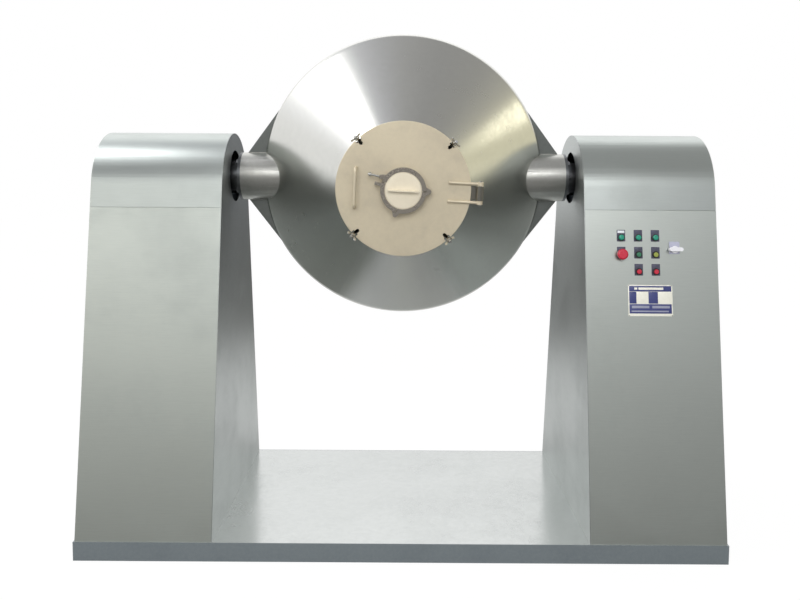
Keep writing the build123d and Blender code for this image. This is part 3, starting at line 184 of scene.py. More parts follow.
def finish(name, colour, second, rough, metallic=1.0, grain=60.0, stretch=(1, 1, 1),
           grain_bump=0.05, rough_spread=0.08, marks=5.0, mark_rough=0.08, dents=0.0,
           dent_scale=2.0, scratches=0.0, coat=0.0, cloud=0.5):
    """A material. The cloud share says how far its colour follows the grain, not the marks."""
    material = bpy.data.materials.new(name)
    material.use_nodes = True
    tree = material.node_tree
    shader = tree.nodes["Principled BSDF"]
    shader.inputs["Metallic"].default_value = metallic
    shader.inputs["Coat Weight"].default_value = coat
    material.diffuse_color = (*colour, 1)
    place = tree.nodes.new("ShaderNodeTexCoord").outputs["Object"]
    mapping = tree.nodes.new("ShaderNodeMapping")
    mapping.inputs["Scale"].default_value = stretch
    tree.links.new(place, mapping.inputs["Vector"])

    def use(group, vector, scale):
        """The outputs of one shared effect."""
        node = tree.nodes.new("ShaderNodeGroup")
        node.node_tree = group
        tree.links.new(vector, node.inputs["Vector"])
        node.inputs["Scale"].default_value = scale
        return node.outputs

    grains = use(grain_group, mapping.outputs["Vector"], grain)
    mask = use(mark_group, place, marks)["Mask"]
    blend = tree.nodes.new("ShaderNodeMix")
    blend.data_type = "RGBA"
    blend.inputs[6].default_value = (*colour, 1)
    blend.inputs[7].default_value = (*second, 1)
    amount = math_node(tree, "ADD", math_node(tree, "MULTIPLY", mask, 1 - cloud),
                       math_node(tree, "MULTIPLY", grains["Shade"], cloud), clamp=True)
    tree.links.new(amount, blend.inputs[0])
    tree.links.new(blend.outputs[2], shader.inputs["Base Color"])
    shift = math_node(tree, "ADD", math_node(tree, "MULTIPLY", grains["Shade"], rough_spread),
                      math_node(tree, "MULTIPLY", mask, mark_rough))
    roughness = math_node(tree, "ADD", shift, rough - rough_spread / 2)
    tree.links.new(roughness, shader.inputs["Roughness"])
    normal = None
    steps = [(grains["Height"], grain_bump, grain_depth)]
    if dents:
        steps.append((use(dent_group, place, dent_scale)["Height"], 1.0, dents))
    if scratches:
        scratch_mask = use(scratch_group, place, scratch_scale)["Mask"]
        steps.append((scratch_mask, scratches, scratch_depth))
    for height, strength, distance in steps:
        bump = tree.nodes.new("ShaderNodeBump")
        bump.inputs["Strength"].default_value = strength
        bump.inputs["Distance"].default_value = distance
        tree.links.new(height, bump.inputs["Height"])
        if normal is not None:
            tree.links.new(normal, bump.inputs["Normal"])
        normal = bump.outputs["Normal"]
    tree.links.new(normal, shader.inputs["Normal"])
    return material


level_lines = (0.6, 0.6, 30)
satin = finish("satin_sheet", (0.66, 0.70, 0.66), (0.58, 0.62, 0.59), 0.36, stretch=level_lines,
               grain=22, grain_bump=0.03, dents=0.004, dent_scale=1.4, marks=2.2, scratches=0.15)
hood_steel = finish("hood_sheet", (0.58, 0.62, 0.60), (0.52, 0.56, 0.54), 0.34, stretch=level_lines,
                    grain=22, grain_bump=0.03, dents=0.003, dent_scale=1.7, marks=2.6)
bright = finish("bright_sheet", (0.66, 0.68, 0.67), (0.58, 0.60, 0.59), 0.20, grain=45,
                grain_bump=0.02, dents=0.006, dent_scale=2.3, marks=3.0)
# Painted shade: the stands' inner sides are the same satin sheet as their fronts, given a darker
# colour for the shade between the stands and the vessel
inner_steel_painted_shade = finish("inner_sheet_painted_shade", (0.52, 0.55, 0.54), (0.46, 0.49, 0.48), 0.36,
                     stretch=level_lines, grain=22, grain_bump=0.02, dents=0.006, dent_scale=1.8,
                     marks=2.4)
vessel_steel = finish("vessel_plate", (0.70, 0.70, 0.67), (0.65, 0.65, 0.62), 0.23, grain=50,
                      grain_bump=0.02, rough_spread=0.04, dents=0.002, dent_scale=1.2, marks=3.2,
                      mark_rough=0.04)
hub_steel = finish("hub_pipe", (0.64, 0.64, 0.61), (0.56, 0.56, 0.53), 0.36, grain=80,
                   grain_bump=0.04, marks=7.0)
clamp_steel = finish("clamp_ring", (0.38, 0.345, 0.30), (0.29, 0.265, 0.235), 0.26, grain=140,
                     metallic=0.65, grain_bump=0.03, marks=7.0)
lid_steel = finish("lid_plate", (0.75, 0.665, 0.50), (0.63, 0.56, 0.43), 0.46, grain=70,
                   metallic=0.55, grain_bump=0.10, marks=4.0, cloud=0.2)
cap_steel = finish("cap_plate", (0.82, 0.75, 0.60), (0.76, 0.69, 0.55), 0.48, grain=70,
                   metallic=0.3, grain_bump=0.04, marks=9.0)
mouth_steel = finish("mouth_forging", (0.40, 0.385, 0.34), (0.30, 0.29, 0.26), 0.34, grain=90,
                     grain_bump=0.05, marks=12.0)
gusset_steel = finish("gusset_plate", (0.34, 0.36, 0.35), (0.27, 0.29, 0.28), 0.40, grain=60,
                      grain_bump=0.05, marks=5.0)
port_steel = finish("port_fittings", (0.74, 0.72, 0.66), (0.62, 0.60, 0.55), 0.20, grain=120,
                    grain_bump=0.03, marks=14.0)
bolt_steel = finish("bolts_and_pins", (0.72, 0.72, 0.70), (0.50, 0.50, 0.48), 0.24, grain=180,
                    grain_bump=0.08, marks=22.0)
# Painted shade: the machined shafts and their flange bolts sit in the dark gap between hub and
# stand, so they get a near-black colour instead of bright steel
shaft_painted_shade = finish("shafts_painted_shade", (0.22, 0.23, 0.24), (0.12, 0.12, 0.13), 0.34, grain=80,
                     stretch=(30, 1, 1), grain_bump=0.10, marks=9.0)
# Painted shade: the stainless skirt round the base, and the bearing pedestals that share this
# finish, get a dark blue-grey for the shade they stand in, not for a paint
low_steel_painted_shade = finish("low_steel_painted_shade", (0.25, 0.285, 0.305), (0.20, 0.23, 0.25), 0.42, metallic=0.35,
                     grain=90, grain_bump=0.12, marks=4.0, scratches=0.4)
cast_paint = finish("cast_enamel", (0.20, 0.24, 0.27), (0.15, 0.18, 0.20), 0.40, metallic=0.0,
                    grain=160, grain_bump=0.35, marks=8.0, coat=0.2)
drive_paint = finish("drive_enamel", (0.09, 0.17, 0.24), (0.06, 0.12, 0.17), 0.36, metallic=0.0,
                     grain=140, grain_bump=0.30, marks=7.0, coat=0.25)
box_plastic = finish("enclosure_plastic", (0.56, 0.57, 0.56), (0.48, 0.49, 0.48), 0.48,
                     metallic=0.0, grain=260, grain_bump=0.25, marks=8.0)
black_plastic = finish("black_plastic", (0.022, 0.022, 0.025), (0.035, 0.035, 0.04), 0.38,
                       metallic=0.0, grain=300, grain_bump=0.2, marks=18.0)
gasket_rubber = finish("silicone_rubber", (0.78, 0.78, 0.72), (0.68, 0.67, 0.60), 0.55,
                       metallic=0.0, grain=220, grain_bump=0.2, marks=14.0)
legend_dark = finish("legend_anodised", (0.11, 0.11, 0.16), (0.07, 0.07, 0.10), 0.40, metallic=0.5,
                     grain=240, grain_bump=0.1, marks=25.0)
legend_pale = finish("legend_blank", (0.78, 0.80, 0.84), (0.68, 0.70, 0.74), 0.42, metallic=0.0,
                     grain=240, grain_bump=0.1, marks=25.0)


def cap_plastic(name, colour, second, rough=0.26):
    """The glossy plastic of buttons and lamps."""
    return finish(name, colour, second, rough, metallic=0.0, grain=320, grain_bump=0.08, marks=30.0,
                  coat=0.4)


lamp_green = cap_plastic("lamp_green", (0.02, 0.30, 0.20), (0.01, 0.20, 0.13), 0.16)
cap_green = cap_plastic("cap_green", (0.03, 0.17, 0.09), (0.02, 0.11, 0.06))
cap_lime = cap_plastic("cap_lime", (0.30, 0.34, 0.06), (0.22, 0.26, 0.05))
cap_red = cap_plastic("cap_red", (0.55, 0.02, 0.05), (0.42, 0.015, 0.035))
switch_white = cap_plastic("switch_white", (0.80, 0.80, 0.83), (0.70, 0.70, 0.76))
# A pale switch plate, with a lavender-grey tint that is painted shade under the switch handle
switch_plate_and_shade = cap_plastic("switch_plate_and_shade", (0.44, 0.45, 0.56), (0.38, 0.39, 0.50), 0.40)
print("finishes:", len(bpy.data.materials))

# %% [markdown]
# The frame's meshes are loose triangles, each with its own corners, so a cone would show its flat
# facets. A copy whose corners are merged can be shaded smooth up to a sharp angle, and can have its
# edges broken by a small bevel, which catches light as a real edge does. The copy stands for the
# node, so the solid keeps its place and its collision.

# %% Dressed copies of the solids
merge_distance = 1e-6
bevel_from = radians(50)


def only(piece):
    """Make one piece the whole selection."""
    bpy.ops.object.select_all(action="DESELECT")
    piece.select_set(True)
    bpy.context.view_layer.objects.active = piece


def apply_modifiers(piece):
    """Make the modifiers' results part of the mesh."""
    only(piece)
    for modifier in list(piece.modifiers):
        bpy.ops.object.modifier_apply(modifier=modifier.name)


def shade(piece, angle):
    """Smooth shading over every edge that turns by less than the angle, in degrees."""
    only(piece)
    bpy.ops.object.shade_smooth_by_angle(angle=radians(angle))


def weigh_normals(piece):
    """Large faces lead the shading, so the slivers of a triangulated cut leave no streaks."""
    weight = piece.modifiers.new("weighted", "WEIGHTED_NORMAL")
    weight.mode = "FACE_AREA"
    weight.weight = 80
    weight.keep_sharp = True
    apply_modifiers(piece)


def body_named(node):
    """Name of the body that a node moves with."""
    bodies = frame["record"]["behaviour"]["bodies"]
    return next(body for body, nodes in bodies.items() if node in nodes)


def dress(node, material, bevel=0.0, angle=35):
    """A smooth copy that stands for a node, with its edges broken where a bevel width is given."""
    mesh = frame["nodes"][node].data.copy()
    mesh.materials.clear()
    mesh.materials.append(material)
    piece = bpy.data.objects.new(node + "_skin", mesh)
    bpy.context.scene.collection.objects.link(piece)
    only(piece)
    bpy.ops.object.mode_set(mode="EDIT")
    bpy.ops.mesh.select_all(action="SELECT")
    bpy.ops.mesh.remove_doubles(threshold=merge_distance)
    bpy.ops.object.mode_set(mode="OBJECT")
    if bevel:
        edge = piece.modifiers.new("broken_edges", "BEVEL")
        edge.width = bevel
        edge.segments = 2
        edge.limit_method = "ANGLE"
        edge.angle_limit = bevel_from
        apply_modifiers(piece)
    shade(piece, angle)
    weigh_normals(piece)
    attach(piece, body_named(node))
    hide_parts(node)
    return piece


def paint(node, material):
    """Give a node its finish and keep its mesh."""
    slots = frame["nodes"][node].data.materials
    slots.clear()
    slots.append(material)


# Material, width of the broken edges, and angle of the smooth shading where it isn't 35 degrees
smooth_nodes = {
    "vessel_mouth": (mouth_steel, 0),
    "left_hub": (hub_steel, 0), "right_hub": (hub_steel, 0),
    "left_shaft": (shaft_painted_shade, 0.0008), "right_shaft": (shaft_painted_shade, 0.0008),
    "left_hood": (hood_steel, 0), "right_hood": (hood_steel, 0),
    "lid": (lid_steel, 0, 12), "port_cap": (cap_steel, 0.002), "lid_handle": (lid_steel, 0),
    "hinge_arms": (lid_steel, 0), "outlet_spigot": (vessel_steel, 0), "valve_body": (port_steel, 0),
    "valve_disc": (port_steel, 0), "valve_lever": (bolt_steel, 0), "bearings": (cast_paint, 0.002),
    "gear_reducer": (drive_paint, 0.002), "drive_motor": (drive_paint, 0),
    "electric_box": (box_plastic, 0), "cable_gland": (black_plastic, 0),
    "control_bodies": (black_plastic, 0), "stop_mushroom": (cap_red, 0),
    "switch_handle": (switch_white, 0.0012), "start_button": (cap_green, 0),
    "jog_button": (cap_lime, 0), "stop_button": (cap_red, 0), "reset_button": (cap_red, 0),
    "lamp_lenses": (lamp_green, 0), "mouth_gasket": (gasket_rubber, 0.0006),
    "clamp_segment_a": (clamp_steel, 0.0006), "clamp_segment_b": (clamp_steel, 0.0006),
    "clamp_segment_c": (clamp_steel, 0.0006), "clamp_bolt": (bolt_steel, 0),
    "motor_fan": (black_plastic, 0), "pivot_pins": (bolt_steel, 0),
}
for number in range(1, 5):
    smooth_nodes[f"swing_bolt_{number}"] = (bolt_steel, 0)
    smooth_nodes[f"wing_nut_{number}"] = (bolt_steel, 0.0005)
skins = {node: dress(node, *look) for node, look in smooth_nodes.items()}

# The main switch has a pale plate with a lavender-grey tint that is painted shade under its handle,
# where the push buttons' bodies are black
switch_side = 1.06
devices = skins["control_bodies"].data
devices.materials.append(switch_plate_and_shade)
for face in devices.polygons:
    if face.center.x > switch_side:
        face.material_index = 1

plain_nodes = {
    "base_deck": bright, "base_frame": low_steel_painted_shade, "left_panels": satin, "right_panels": satin,
    "left_inner_side": inner_steel_painted_shade, "right_inner_side": inner_steel_painted_shade, "left_outer_side": satin,
    "right_outer_side": satin, "service_cover": satin, "frame_bolts": bolt_steel,
    "bearing_pedestals": low_steel_painted_shade, "hub_gussets": gusset_steel, "shaft_bolts": shaft_painted_shade,
    "legend_plates": legend_dark,
}
for node, material in plain_nodes.items():
    paint(node, material)
print("dressed", len(smooth_nodes) + len(plain_nodes), "of", len(frame["nodes"]), "nodes")

# %% [markdown]
# The vessel is spun from plate: two cones, and between them a rolled belt that curves evenly from
# one to the other. The three solids each have their own facets, and the light would show where they
# meet. One skin turned round the cone axis covers them all: a ring of many corners is drawn out and
# widened step by step along the vessel's section, and its last ring is bridged to its first.

# %% Vessel skin
tilt = radians(5.4)
axis_height = 1.502
mouth_way = Vector((0, -cos(tilt), -sin(tilt)))
cone_turn = mouth_way.to_track_quat("Z", "Y").to_matrix().to_4x4()
cone_frame = Matrix.Translation((0, 0, axis_height)) @ cone_turn
vessel_radius, vessel_wall, knuckle = 0.612, 0.005, 0.050
neck_radius, outlet_radius, outlet_bore = 0.222, 0.1095, 0.1055
outlet_flange, outlet_flange_back, outlet_face = 0.140, -0.545211, -0.557211
knuckle_middle = vessel_radius - knuckle
cone_rings = (0.31, 0.40, 0.50, 0.590)
tail_ring = 0.21
round_steps, round_facets = 16, 288
cone_angle = 45


def knuckle_points(radius, start, end):
    """Points of the rolled belt's section between two angles, in degrees."""
    for step in range(round_steps + 1):
        angle = radians(start + (end - start) * step / round_steps)
        yield (knuckle_middle + radius * cos(angle), radius * sin(angle))


def on_cone(radius, wall=0.0):
    """Level at which a 45 degree cone of the vessel has a radius, measured on its outer side."""
    return (knuckle_middle + (knuckle - wall) * 2 ** 0.5) - radius


hold = 0.004
section = [(r, on_cone(r)) for r in (neck_radius, neck_radius + hold, *cone_rings)]
section += list(knuckle_points(knuckle, cone_angle, -cone_angle))
section += [(r, -on_cone(r)) for r in (*reversed(cone_rings), tail_ring, outlet_radius + hold,
                                       outlet_radius)]
section += [(outlet_radius, outlet_flange_back), (outlet_flange, outlet_flange_back),
            (outlet_flange, outlet_face), (outlet_bore, outlet_face),
            (outlet_bore, -on_cone(outlet_bore, vessel_wall))]
section += list(knuckle_points(knuckle - vessel_wall, -cone_angle, cone_angle))
neck_bore = neck_radius - vessel_wall
section += [(neck_bore, on_cone(neck_bore, vessel_wall)), (neck_bore, on_cone(neck_radius))]

bpy.ops.object.select_all(action="DESELECT")
first_radius, first_level = section[0]
bpy.ops.mesh.primitive_circle_add(vertices=round_facets, radius=first_radius,
                                  location=(0, 0, first_level))
shell = bpy.context.active_object
shell.name = "vessel_skin"
bpy.ops.object.transform_apply(location=True, rotation=True, scale=True)
bpy.ops.object.mode_set(mode="EDIT")
bpy.ops.mesh.select_all(action="SELECT")
for (radius, level), (next_radius, next_level) in zip(section, section[1:]):
    bpy.ops.mesh.extrude_region_move(TRANSFORM_OT_translate={"value": (0, 0, next_level - level)})
    widen = next_radius / radius
    bpy.ops.transform.resize(value=(widen, widen, 1))
bpy.ops.mesh.select_all(action="DESELECT")
bpy.ops.mesh.select_non_manifold(extend=False)
bpy.ops.mesh.bridge_edge_loops()
bpy.ops.mesh.select_all(action="SELECT")
bpy.ops.mesh.normals_make_consistent(inside=False)
bpy.ops.object.mode_set(mode="OBJECT")
shell.data.transform(cone_frame)
shell.data.materials.append(vessel_steel)
shade(shell, 30)
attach(shell, "vessel")
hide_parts("vessel_belt", "vessel_front_cone", "vessel_rear_cone")
print("vessel skin faces:", len(shell.data.polygons))

# %% [markdown]
# The drive stand's front sheet leans back. What lies on it is easiest to model flat at the world's
# origin, and one matrix then lays it on the sheet. The sheet runs from the stand's foot to its
# crown, where it touches a circle, and these two give its lean.

# %% The leaning front sheet
foot_height, foot_depth = 0.075, 0.503
crown_height, crown_radius = 1.423, 0.265
rise = crown_height - foot_height
lean = atan(foot_depth / rise) - asin(crown_radius / hypot(foot_depth, rise))
sheet = Matrix.Translation((0, -foot_depth, foot_height)) @ Matrix.Rotation(pi / 2 - lean, 4, "X")
print("front sheet leans", round(degrees(lean), 2), "degrees")

# %% [markdown]
# The rating plate on the real machine is a thin printed metal plate with a pale rim, a dark head
# band, two pale fields for stamped values and a dark foot band. Here its fields stay blank. A flat
# picture would do from afar, but raised fields a fraction of a millimetre high also read from near.

# %% Rating plate
navy_print = finish("navy_print", (0.035, 0.045, 0.16), (0.05, 0.06, 0.19), 0.35, metallic=0.0,
                    grain=300, grain_bump=0.05, marks=20.0, coat=0.3)
cream_print = finish("cream_print", (0.82, 0.81, 0.72), (0.72, 0.71, 0.62), 0.38, metallic=0.0,
                     grain=300, grain_bump=0.05, marks=20.0, coat=0.3)
grey_print = finish("grey_print", (0.30, 0.31, 0.40), (0.22, 0.23, 0.32), 0.38, metallic=0.0,
                    grain=300, grain_bump=0.05, marks=20.0, coat=0.3)
soft_edge = 0.0002


def flat_block(name, centre, size, material):
    """A thin block on the sheet: centre and size in the sheet's own directions, in metres."""
    bpy.ops.object.select_all(action="DESELECT")
    bpy.ops.mesh.primitive_cube_add(size=1, location=centre)
    block = bpy.context.active_object
    block.name = name
    block.scale = size
    bpy.ops.object.transform_apply(location=True, rotation=True, scale=True)
    edge = block.modifiers.new("rounded", "BEVEL")
    edge.width = soft_edge
    edge.segments = 3
    apply_modifiers(block)
    block.data.materials.append(material)
    return block


def join(blocks, name):
    """Make one piece of several."""
    bpy.ops.object.select_all(action="DESELECT")
    for block in blocks:
        block.select_set(True)
    bpy.context.view_layer.objects.active = blocks[0]
    bpy.ops.object.join()
    blocks[0].name = name
    return blocks[0]


plate_x, plate_y = 0.99825, 0.9505
plate_width, plate_height = 0.1785, 0.125
plate_sheet, print_step, field_step = 0.0012, 0.0003, 0.0002
top = plate_sheet + print_step
raised = top + field_step
rivet_radius, rivet_x, rivet_y = 0.0022, 0.0862, 0.0597
# Name, middle on the plate, width and height, material, and how far it stands off the sheet
rows = [
    ("plate", (0, 0), (plate_width, plate_height), cream_print, plate_sheet),
    ("head_band", (0, 0.0475), (0.170, 0.0225), navy_print, top),
    ("head_field", (0.003, 0.0478), (0.100, 0.0095), cream_print, raised),
    ("head_mark", (-0.058, 0.0478), (0.012, 0.0085), cream_print, raised),
    ("left_label", (-0.0705, 0.0115), (0.029, 0.0475), navy_print, top),
    ("middle_label", (0.0115, 0.0115), (0.038, 0.0475), navy_print, top),
    ("left_field", (-0.0315, 0.0115), (0.045, 0.0475), cream_print, top),
    ("right_field", (0.0580, 0.0115), (0.052, 0.0475), cream_print, top),
    ("foot_band", (0, -0.0330), (0.170, 0.0380), navy_print, top),
    ("foot_field_1", (-0.040, -0.0260), (0.070, 0.0100), grey_print, raised),
    ("foot_field_2", (0.042, -0.0260), (0.070, 0.0100), grey_print, raised),
    ("foot_field_3", (-0.002, -0.0430), (0.150, 0.0060), grey_print, raised),
]
blocks = []
for name, (x, y), (width, height), material, thickness in rows:
    blocks.append(flat_block(name, (plate_x + x, plate_y + y, thickness / 2),
                             (width, height, thickness), material))
for x in (-1, 1):
    for y in (-1, 1):
        bpy.ops.mesh.primitive_uv_sphere_add(
            segments=16, ring_count=8, radius=rivet_radius,
            location=(plate_x + x * rivet_x, plate_y + y * rivet_y, plate_sheet))
        rivet = bpy.context.active_object
        rivet.data.materials.append(bolt_steel)
        blocks.append(rivet)
rating_plate = join(blocks, "rating_plate")
rating_plate.data.transform(sheet)
shade(rating_plate, 30)
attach(rating_plate, "stands")
print("rating plate faces:", len(rating_plate.data.polygons))

# %% [markdown]
# Every legend plate carries a thin blank strip above its device. The first one is pale, where the
# others are dark.

# %% Legend strips
first_column, first_row, device_pitch = 0.8855, 1.2045, 0.069
strip_rise, strip_lift = 0.0235, 0.0017
strip_size = (0.028, 0.010, 0.0006)
strips = []
for column, row in ((0, 0), (1, 0), (2, 0), (0, 1), (1, 1), (2, 1), (1, 2), (2, 2)):
    middle = (first_column + device_pitch * column, first_row - device_pitch * row + strip_rise,
              strip_lift)
    strips.append(flat_block(f"legend_strip_{column}_{row}", middle, strip_size,
                             legend_dark if strips else legend_pale))
legend_strips = join(strips, "legend_strips")
legend_strips.data.transform(sheet)
shade(legend_strips, 30)
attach(legend_strips, "stands")

# %% [markdown]
# The shells are joined by welds. A ground weld shows as a low bead with a slightly rippled back. A
# torus of many segments is the simplest ring, and its ripple comes from moving every other section.

# %% Weld beads
weld_steel = finish("weld_bead", (0.62, 0.62, 0.58), (0.44, 0.43, 0.40), 0.34, grain=90,
                    grain_bump=0.2, marks=20.0)
ring_facets, ring_valley = 8, 0.86
line_facets, line_valley, line_ripples = 10, 0.85, 60
level_gap = 1e-4


def ring_bead(name, radius, height, thick, body, ripples):
    """A weld round the vessel's own axis, at a height along it."""
    bpy.ops.object.select_all(action="DESELECT")
    bpy.ops.mesh.primitive_torus_add(major_segments=ripples * 2, minor_segments=ring_facets,
                                     major_radius=radius, minor_radius=thick)
    bead = bpy.context.active_object
    bead.name = name
    for vertex in bead.data.vertices:
        out = Vector((vertex.co.x, vertex.co.y, 0)).normalized() * radius
        swell = 1.0 if vertex.index // ring_facets % 2 else ring_valley
        vertex.co = out + (vertex.co - out) * swell
    bead.data.transform(Matrix.Translation((0, 0, height)))
    bead.data.transform(cone_frame)
    bead.data.materials.append(weld_steel)
    shade(bead, 60)
    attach(bead, body)


ring_bead("neck_weld", 0.2225, 0.4105, 0.0026, "vessel", ripples=220)
ring_bead("outlet_weld", 0.1100, -0.5230, 0.0024, "vessel", ripples=120)


def line_bead(name, start, end, thick, body):
    """A straight weld between two points."""
    bpy.ops.object.select_all(action="DESELECT")
    bpy.ops.mesh.primitive_cylinder_add(vertices=line_facets, radius=thick,
                                        depth=(end - start).length)
    bead = bpy.context.active_object
    bead.name = name
    bpy.ops.object.mode_set(mode="EDIT")
    bpy.ops.mesh.select_all(action="SELECT")
    bpy.ops.mesh.bisect(plane_co=(0, 0, 0), plane_no=(0, 0, 1))
    bpy.ops.object.mode_set(mode="OBJECT")
    slices = bmesh.new()
    slices.from_mesh(bead.data)
    long_edges = [e for e in slices.edges if abs(e.verts[0].co.z - e.verts[1].co.z) > level_gap]
    bmesh.ops.subdivide_edges(slices, edges=long_edges, cuts=line_ripples, use_grid_fill=False)
    levels = sorted({round(v.co.z, 5) for v in slices.verts})
    for vertex in slices.verts:
        swell = 1.0 if levels.index(round(vertex.co.z, 5)) % 2 else line_valley
        vertex.co.x *= swell
        vertex.co.y *= swell
    slices.to_mesh(bead.data)
    slices.free()
    turn = (end - start).to_track_quat("Z", "Y").to_matrix().to_4x4()
    bead.data.transform(Matrix.Translation((start + end) / 2) @ turn)
    bead.data.materials.append(weld_steel)
    shade(bead, 60)
    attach(bead, body)


hub_radius, gusset_half = 0.1036, 0.006
weld_start, weld_end, gusset_bead = 0.600, 0.676, 0.0022
plate_up = Vector((0, -sin(tilt), cos(tilt)))
plate_forward = mouth_way * gusset_half
for side, side_name in ((-1, "left"), (1, "right")):
    for way, way_name in ((1, "upper"), (-1, "lower")):
        foot = Vector((0, 0, axis_height)) + plate_up * (hub_radius * way) + plate_forward
        line_bead(f"gusset_weld_{side_name}_{way_name}", foot + Vector((side * weld_start, 0, 0)),
                  foot + Vector((side * weld_end, 0, 0)), gusset_bead, "vessel")
print("weld beads ready")

# %% [markdown]
# Bare steel shows what surrounds it, so the room is most of the picture. The plates that face the
# camera show the room behind the camera, the cones show a ring of the room to the left, above and
# to the right, and the inner sides and the deck show the far wall. So the room is built in those
# three parts from colour ramps: each wall has one by height for its left and one for its right, and
# the ring has one by the angle round the vessel.

# %% Room
world = bpy.data.worlds.new("room")
bpy.context.scene.world = world
world.use_nodes = True
room = world.node_tree
room.nodes.clear()
way = room.nodes.new("ShaderNodeTexCoord").outputs["Generated"]
parts = room.nodes.new("ShaderNodeSeparateXYZ")
room.links.new(way, parts.inputs[0])
room_strength = 2.0
warm_red, warm_blue = 0.4, 2.0
side_blend, depth_blend = 0.20, 0.10
ring_edge, wall_edge = 0.32, 0.54


def tone(value, warm=0.0):
    """A grey of the room, warm above zero and cool below, as a share of the room's strength."""
    value /= room_strength
    return (value * (1 + warm_red * warm), value, value * (1 - warm_blue * warm), 1)


def tone_ramp(factor, stops):
    """A colour ramp of the room's tones: (position, brightness, warmth)."""
    node = room.nodes.new("ShaderNodeValToRGB")
    elements = node.color_ramp.elements
    while len(elements) < len(stops):
        elements.new(0.5)
    for element, (position, *shade_of) in zip(elements, stops):
        element.position = position
        element.color = tone(*shade_of)
    room.links.new(factor, node.inputs["Fac"])
    return node.outputs["Color"]


def by_height(stops):
    """A wall: (degrees above the horizon, brightness, warmth) from low to high."""
    half = math_node(room, "MULTIPLY", parts.outputs["Z"], 0.5)
    return tone_ramp(math_node(room, "ADD", half, 0.5),
                     [(0.5 + 0.5 * sin(radians(height)), *rest) for height, *rest in stops])


def by_angle(stops):
    """The ring: (degrees from the right, anticlockwise, brightness, warmth) from -180 to 180."""
    angle = math_node(room, "ARCTAN2", parts.outputs["Z"], parts.outputs["X"])
    share = math_node(room, "MULTIPLY", angle, 0.5 / pi)
    return tone_ramp(math_node(room, "ADD", share, 0.5),
                     [(0.5 + degree / 360, *rest) for degree, *rest in stops])


def blend(factor, first, second):
    """The first colour where the factor is 0, the second where it is 1."""
    node = room.nodes.new("ShaderNodeMix")
    node.data_type = "RGBA"
    room.links.new(factor, node.inputs[0])
    room.links.new(first, node.inputs[6])
    room.links.new(second, node.inputs[7])
    return node.outputs[2]


front_left = by_height([
    (-90, 0.12), (-6, 0.14), (0, 0.28), (6, 0.60, 0.02), (12, 1.22, 0.03), (19, 1.72, 0.01),
    (25, 0.84), (31, 0.28, -0.02), (60, 0.24), (76, 0.80), (90, 1.40)])
front_right = by_height([
    (-90, 0.24), (-4, 0.36), (4, 0.40), (8, 0.42), (13, 0.56, -0.02), (18, 0.68, -0.04),
    (21, 0.40), (25, 0.52), (31, 0.32), (60, 0.30), (76, 0.90), (90, 1.45)])
back_left = by_height([
    (-90, 0.5), (-4, 0.80), (4, 1.10), (8, 1.15), (13, 1.20), (19, 1.00), (50, 1.45),
    (75, 1.30), (90, 1.0)])
back_right = by_height([
    (-90, 0.3), (-4, 0.15, -0.04), (8, 0.19, -0.04), (13, 1.12), (19, 0.98), (50, 1.45),
    (75, 1.30), (90, 1.0)])
ring = by_angle([
    (-180, 1.1), (-172, 0.80), (-162, 0.26), (-148, 0.06, -0.05), (-128, 0.05, -0.05),
    (-114, 0.16), (-100, 0.48), (-84, 0.44), (-60, 0.14), (-42, 0.04, 0.04), (-18, 0.10, 0.08),
    (-6, 0.50, 0.12), (4, 0.94, 0.12), (16, 0.76, 0.13), (27, 0.66, 0.12), (36, 0.50, 0.06),
    (50, 0.38, 0.02), (72, 0.37), (90, 0.44), (100, 0.52, -0.02), (112, 0.66, -0.03),
    (123, 0.95, -0.02), (132, 2.0), (144, 2.0), (149, 1.20, -0.02), (158, 1.02), (166, 1.0),
    (174, 1.1), (180, 1.1)])
sideways = ramp_node(room, parts.outputs["X"], -side_blend, side_blend)
front_room = blend(sideways, front_left, front_right)
back_room = blend(sideways, back_left, back_right)
backward = ramp_node(room, parts.outputs["Y"], -depth_blend, depth_blend)
walls = blend(backward, front_room, back_room)
off_ring = math_node(room, "ABSOLUTE", parts.outputs["Y"])
surroundings = blend(ramp_node(room, off_ring, ring_edge, wall_edge), ring, walls)
seen = room.nodes.new("ShaderNodeLightPath")
lit = room.nodes.new("ShaderNodeBackground")
room.links.new(surroundings, lit.inputs["Color"])
lit.inputs["Strength"].default_value = room_strength
white = room.nodes.new("ShaderNodeBackground")
white.inputs["Color"].default_value = (1, 1, 1, 1)
chosen = room.nodes.new("ShaderNodeMixShader")
room.links.new(seen.outputs["Is Camera Ray"], chosen.inputs[0])
room.links.new(lit.outputs[0], chosen.inputs[1])
room.links.new(white.outputs[0], chosen.inputs[2])
output = room.nodes.new("ShaderNodeOutputWorld")
room.links.new(chosen.outputs[0], output.inputs["Surface"])


def soft_lamp(name, location, target, size, power, colour=(1, 1, 1)):
    """A rectangular lamp that faces its target. Size in metres, power in watts."""
    data = bpy.data.lights.new(name, "AREA")
    data.shape = "RECTANGLE"
    data.size, data.size_y = size
    data.energy = power
    data.color = colour
    lamp = bpy.data.objects.new(name, data)
    bpy.context.scene.collection.objects.link(lamp)
    lamp.location = location
    lamp.rotation_euler = (Vector(target) - Vector(location)).to_track_quat("-Z", "Y").to_euler()
    return lamp


vessel_middle = (0, -0.2, 1.5)
soft_lamp("key", (-2.4, -0.6, 4.5), vessel_middle, (0.9, 1.2), 14)
soft_lamp("warm_fill", (3.4, 0.12, 3.15), vessel_middle, (0.24, 0.6), 1.7, (1.0, 0.95, 0.74))
soft_lamp("front", (0.5, -6.0, 4.2), (0, 0, 1.0), (4.0, 2.0), 60)
# Mirrored by nothing, it brings paint, plastic and the lid's dull face to a plain level
soft_lamp("fill", (-0.5, -6.0, 2.6), (0, 0, 1.2), (4.0, 3.0), 200).visible_glossy = False

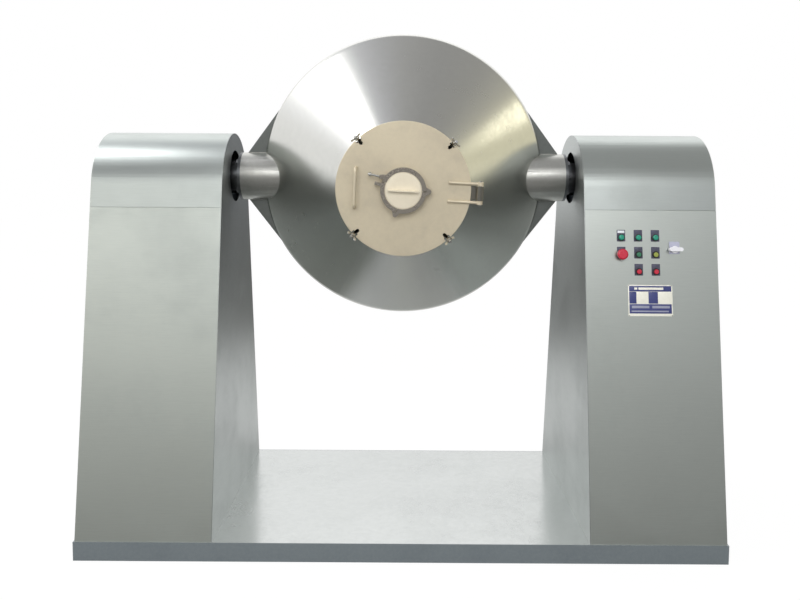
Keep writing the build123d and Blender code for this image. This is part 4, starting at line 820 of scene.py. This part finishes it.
# %% [markdown]
# The floor is grey matte paint. For the camera three quarters of it glow white instead, so that it
# runs into the background without an edge, and the rest keeps the soft shadow under the machine.
# Behind the machine the steel mirrors some of that white too.

# %% Floor
floor_size, floor_drop = 40, 0.0005
floor_grey, white_glow = (0.17, 0.17, 0.166, 1), 1.29
camera_share, mirror_share = 0.75, 0.6
mirror_start, mirror_full = -0.2, 1.2
mirror_fade, mirror_end = 2.0, 4.6
bpy.ops.object.select_all(action="DESELECT")
bpy.ops.mesh.primitive_plane_add(size=floor_size, location=(0, 0, -floor_drop))
floor = bpy.context.active_object
floor.name = "floor"
floor_paint = bpy.data.materials.new("pale_floor")
floor_paint.use_nodes = True
tree = floor_paint.node_tree
tree.nodes.clear()
matte = tree.nodes.new("ShaderNodeBsdfDiffuse")
matte.inputs["Color"].default_value = floor_grey
glow = tree.nodes.new("ShaderNodeEmission")
glow.inputs["Color"].default_value = (1, 1, 1, 1)
glow.inputs["Strength"].default_value = white_glow
path = tree.nodes.new("ShaderNodeLightPath")
depth = tree.nodes.new("ShaderNodeSeparateXYZ")
tree.links.new(tree.nodes.new("ShaderNodeTexCoord").outputs["Object"], depth.inputs[0])
near = ramp_node(tree, depth.outputs["Y"], mirror_end, mirror_fade)
far_side = ramp_node(tree, depth.outputs["Y"], mirror_start, mirror_full)
behind = math_node(tree, "MULTIPLY", math_node(tree, "MULTIPLY", far_side, near), mirror_share)
mirrored = math_node(tree, "MULTIPLY", path.outputs["Is Glossy Ray"], behind)
seen_white = math_node(tree, "MULTIPLY", path.outputs["Is Camera Ray"], camera_share)
share = math_node(tree, "ADD", seen_white, mirrored)
shown = tree.nodes.new("ShaderNodeMixShader")
tree.links.new(share, shown.inputs[0])
tree.links.new(matte.outputs[0], shown.inputs[1])
tree.links.new(glow.outputs[0], shown.inputs[2])
tree.links.new(shown.outputs[0], tree.nodes.new("ShaderNodeOutputMaterial").inputs["Surface"])
floor.data.materials.append(floor_paint)

# %% Colour view transform
bpy.context.scene.view_settings.view_transform = "Standard"
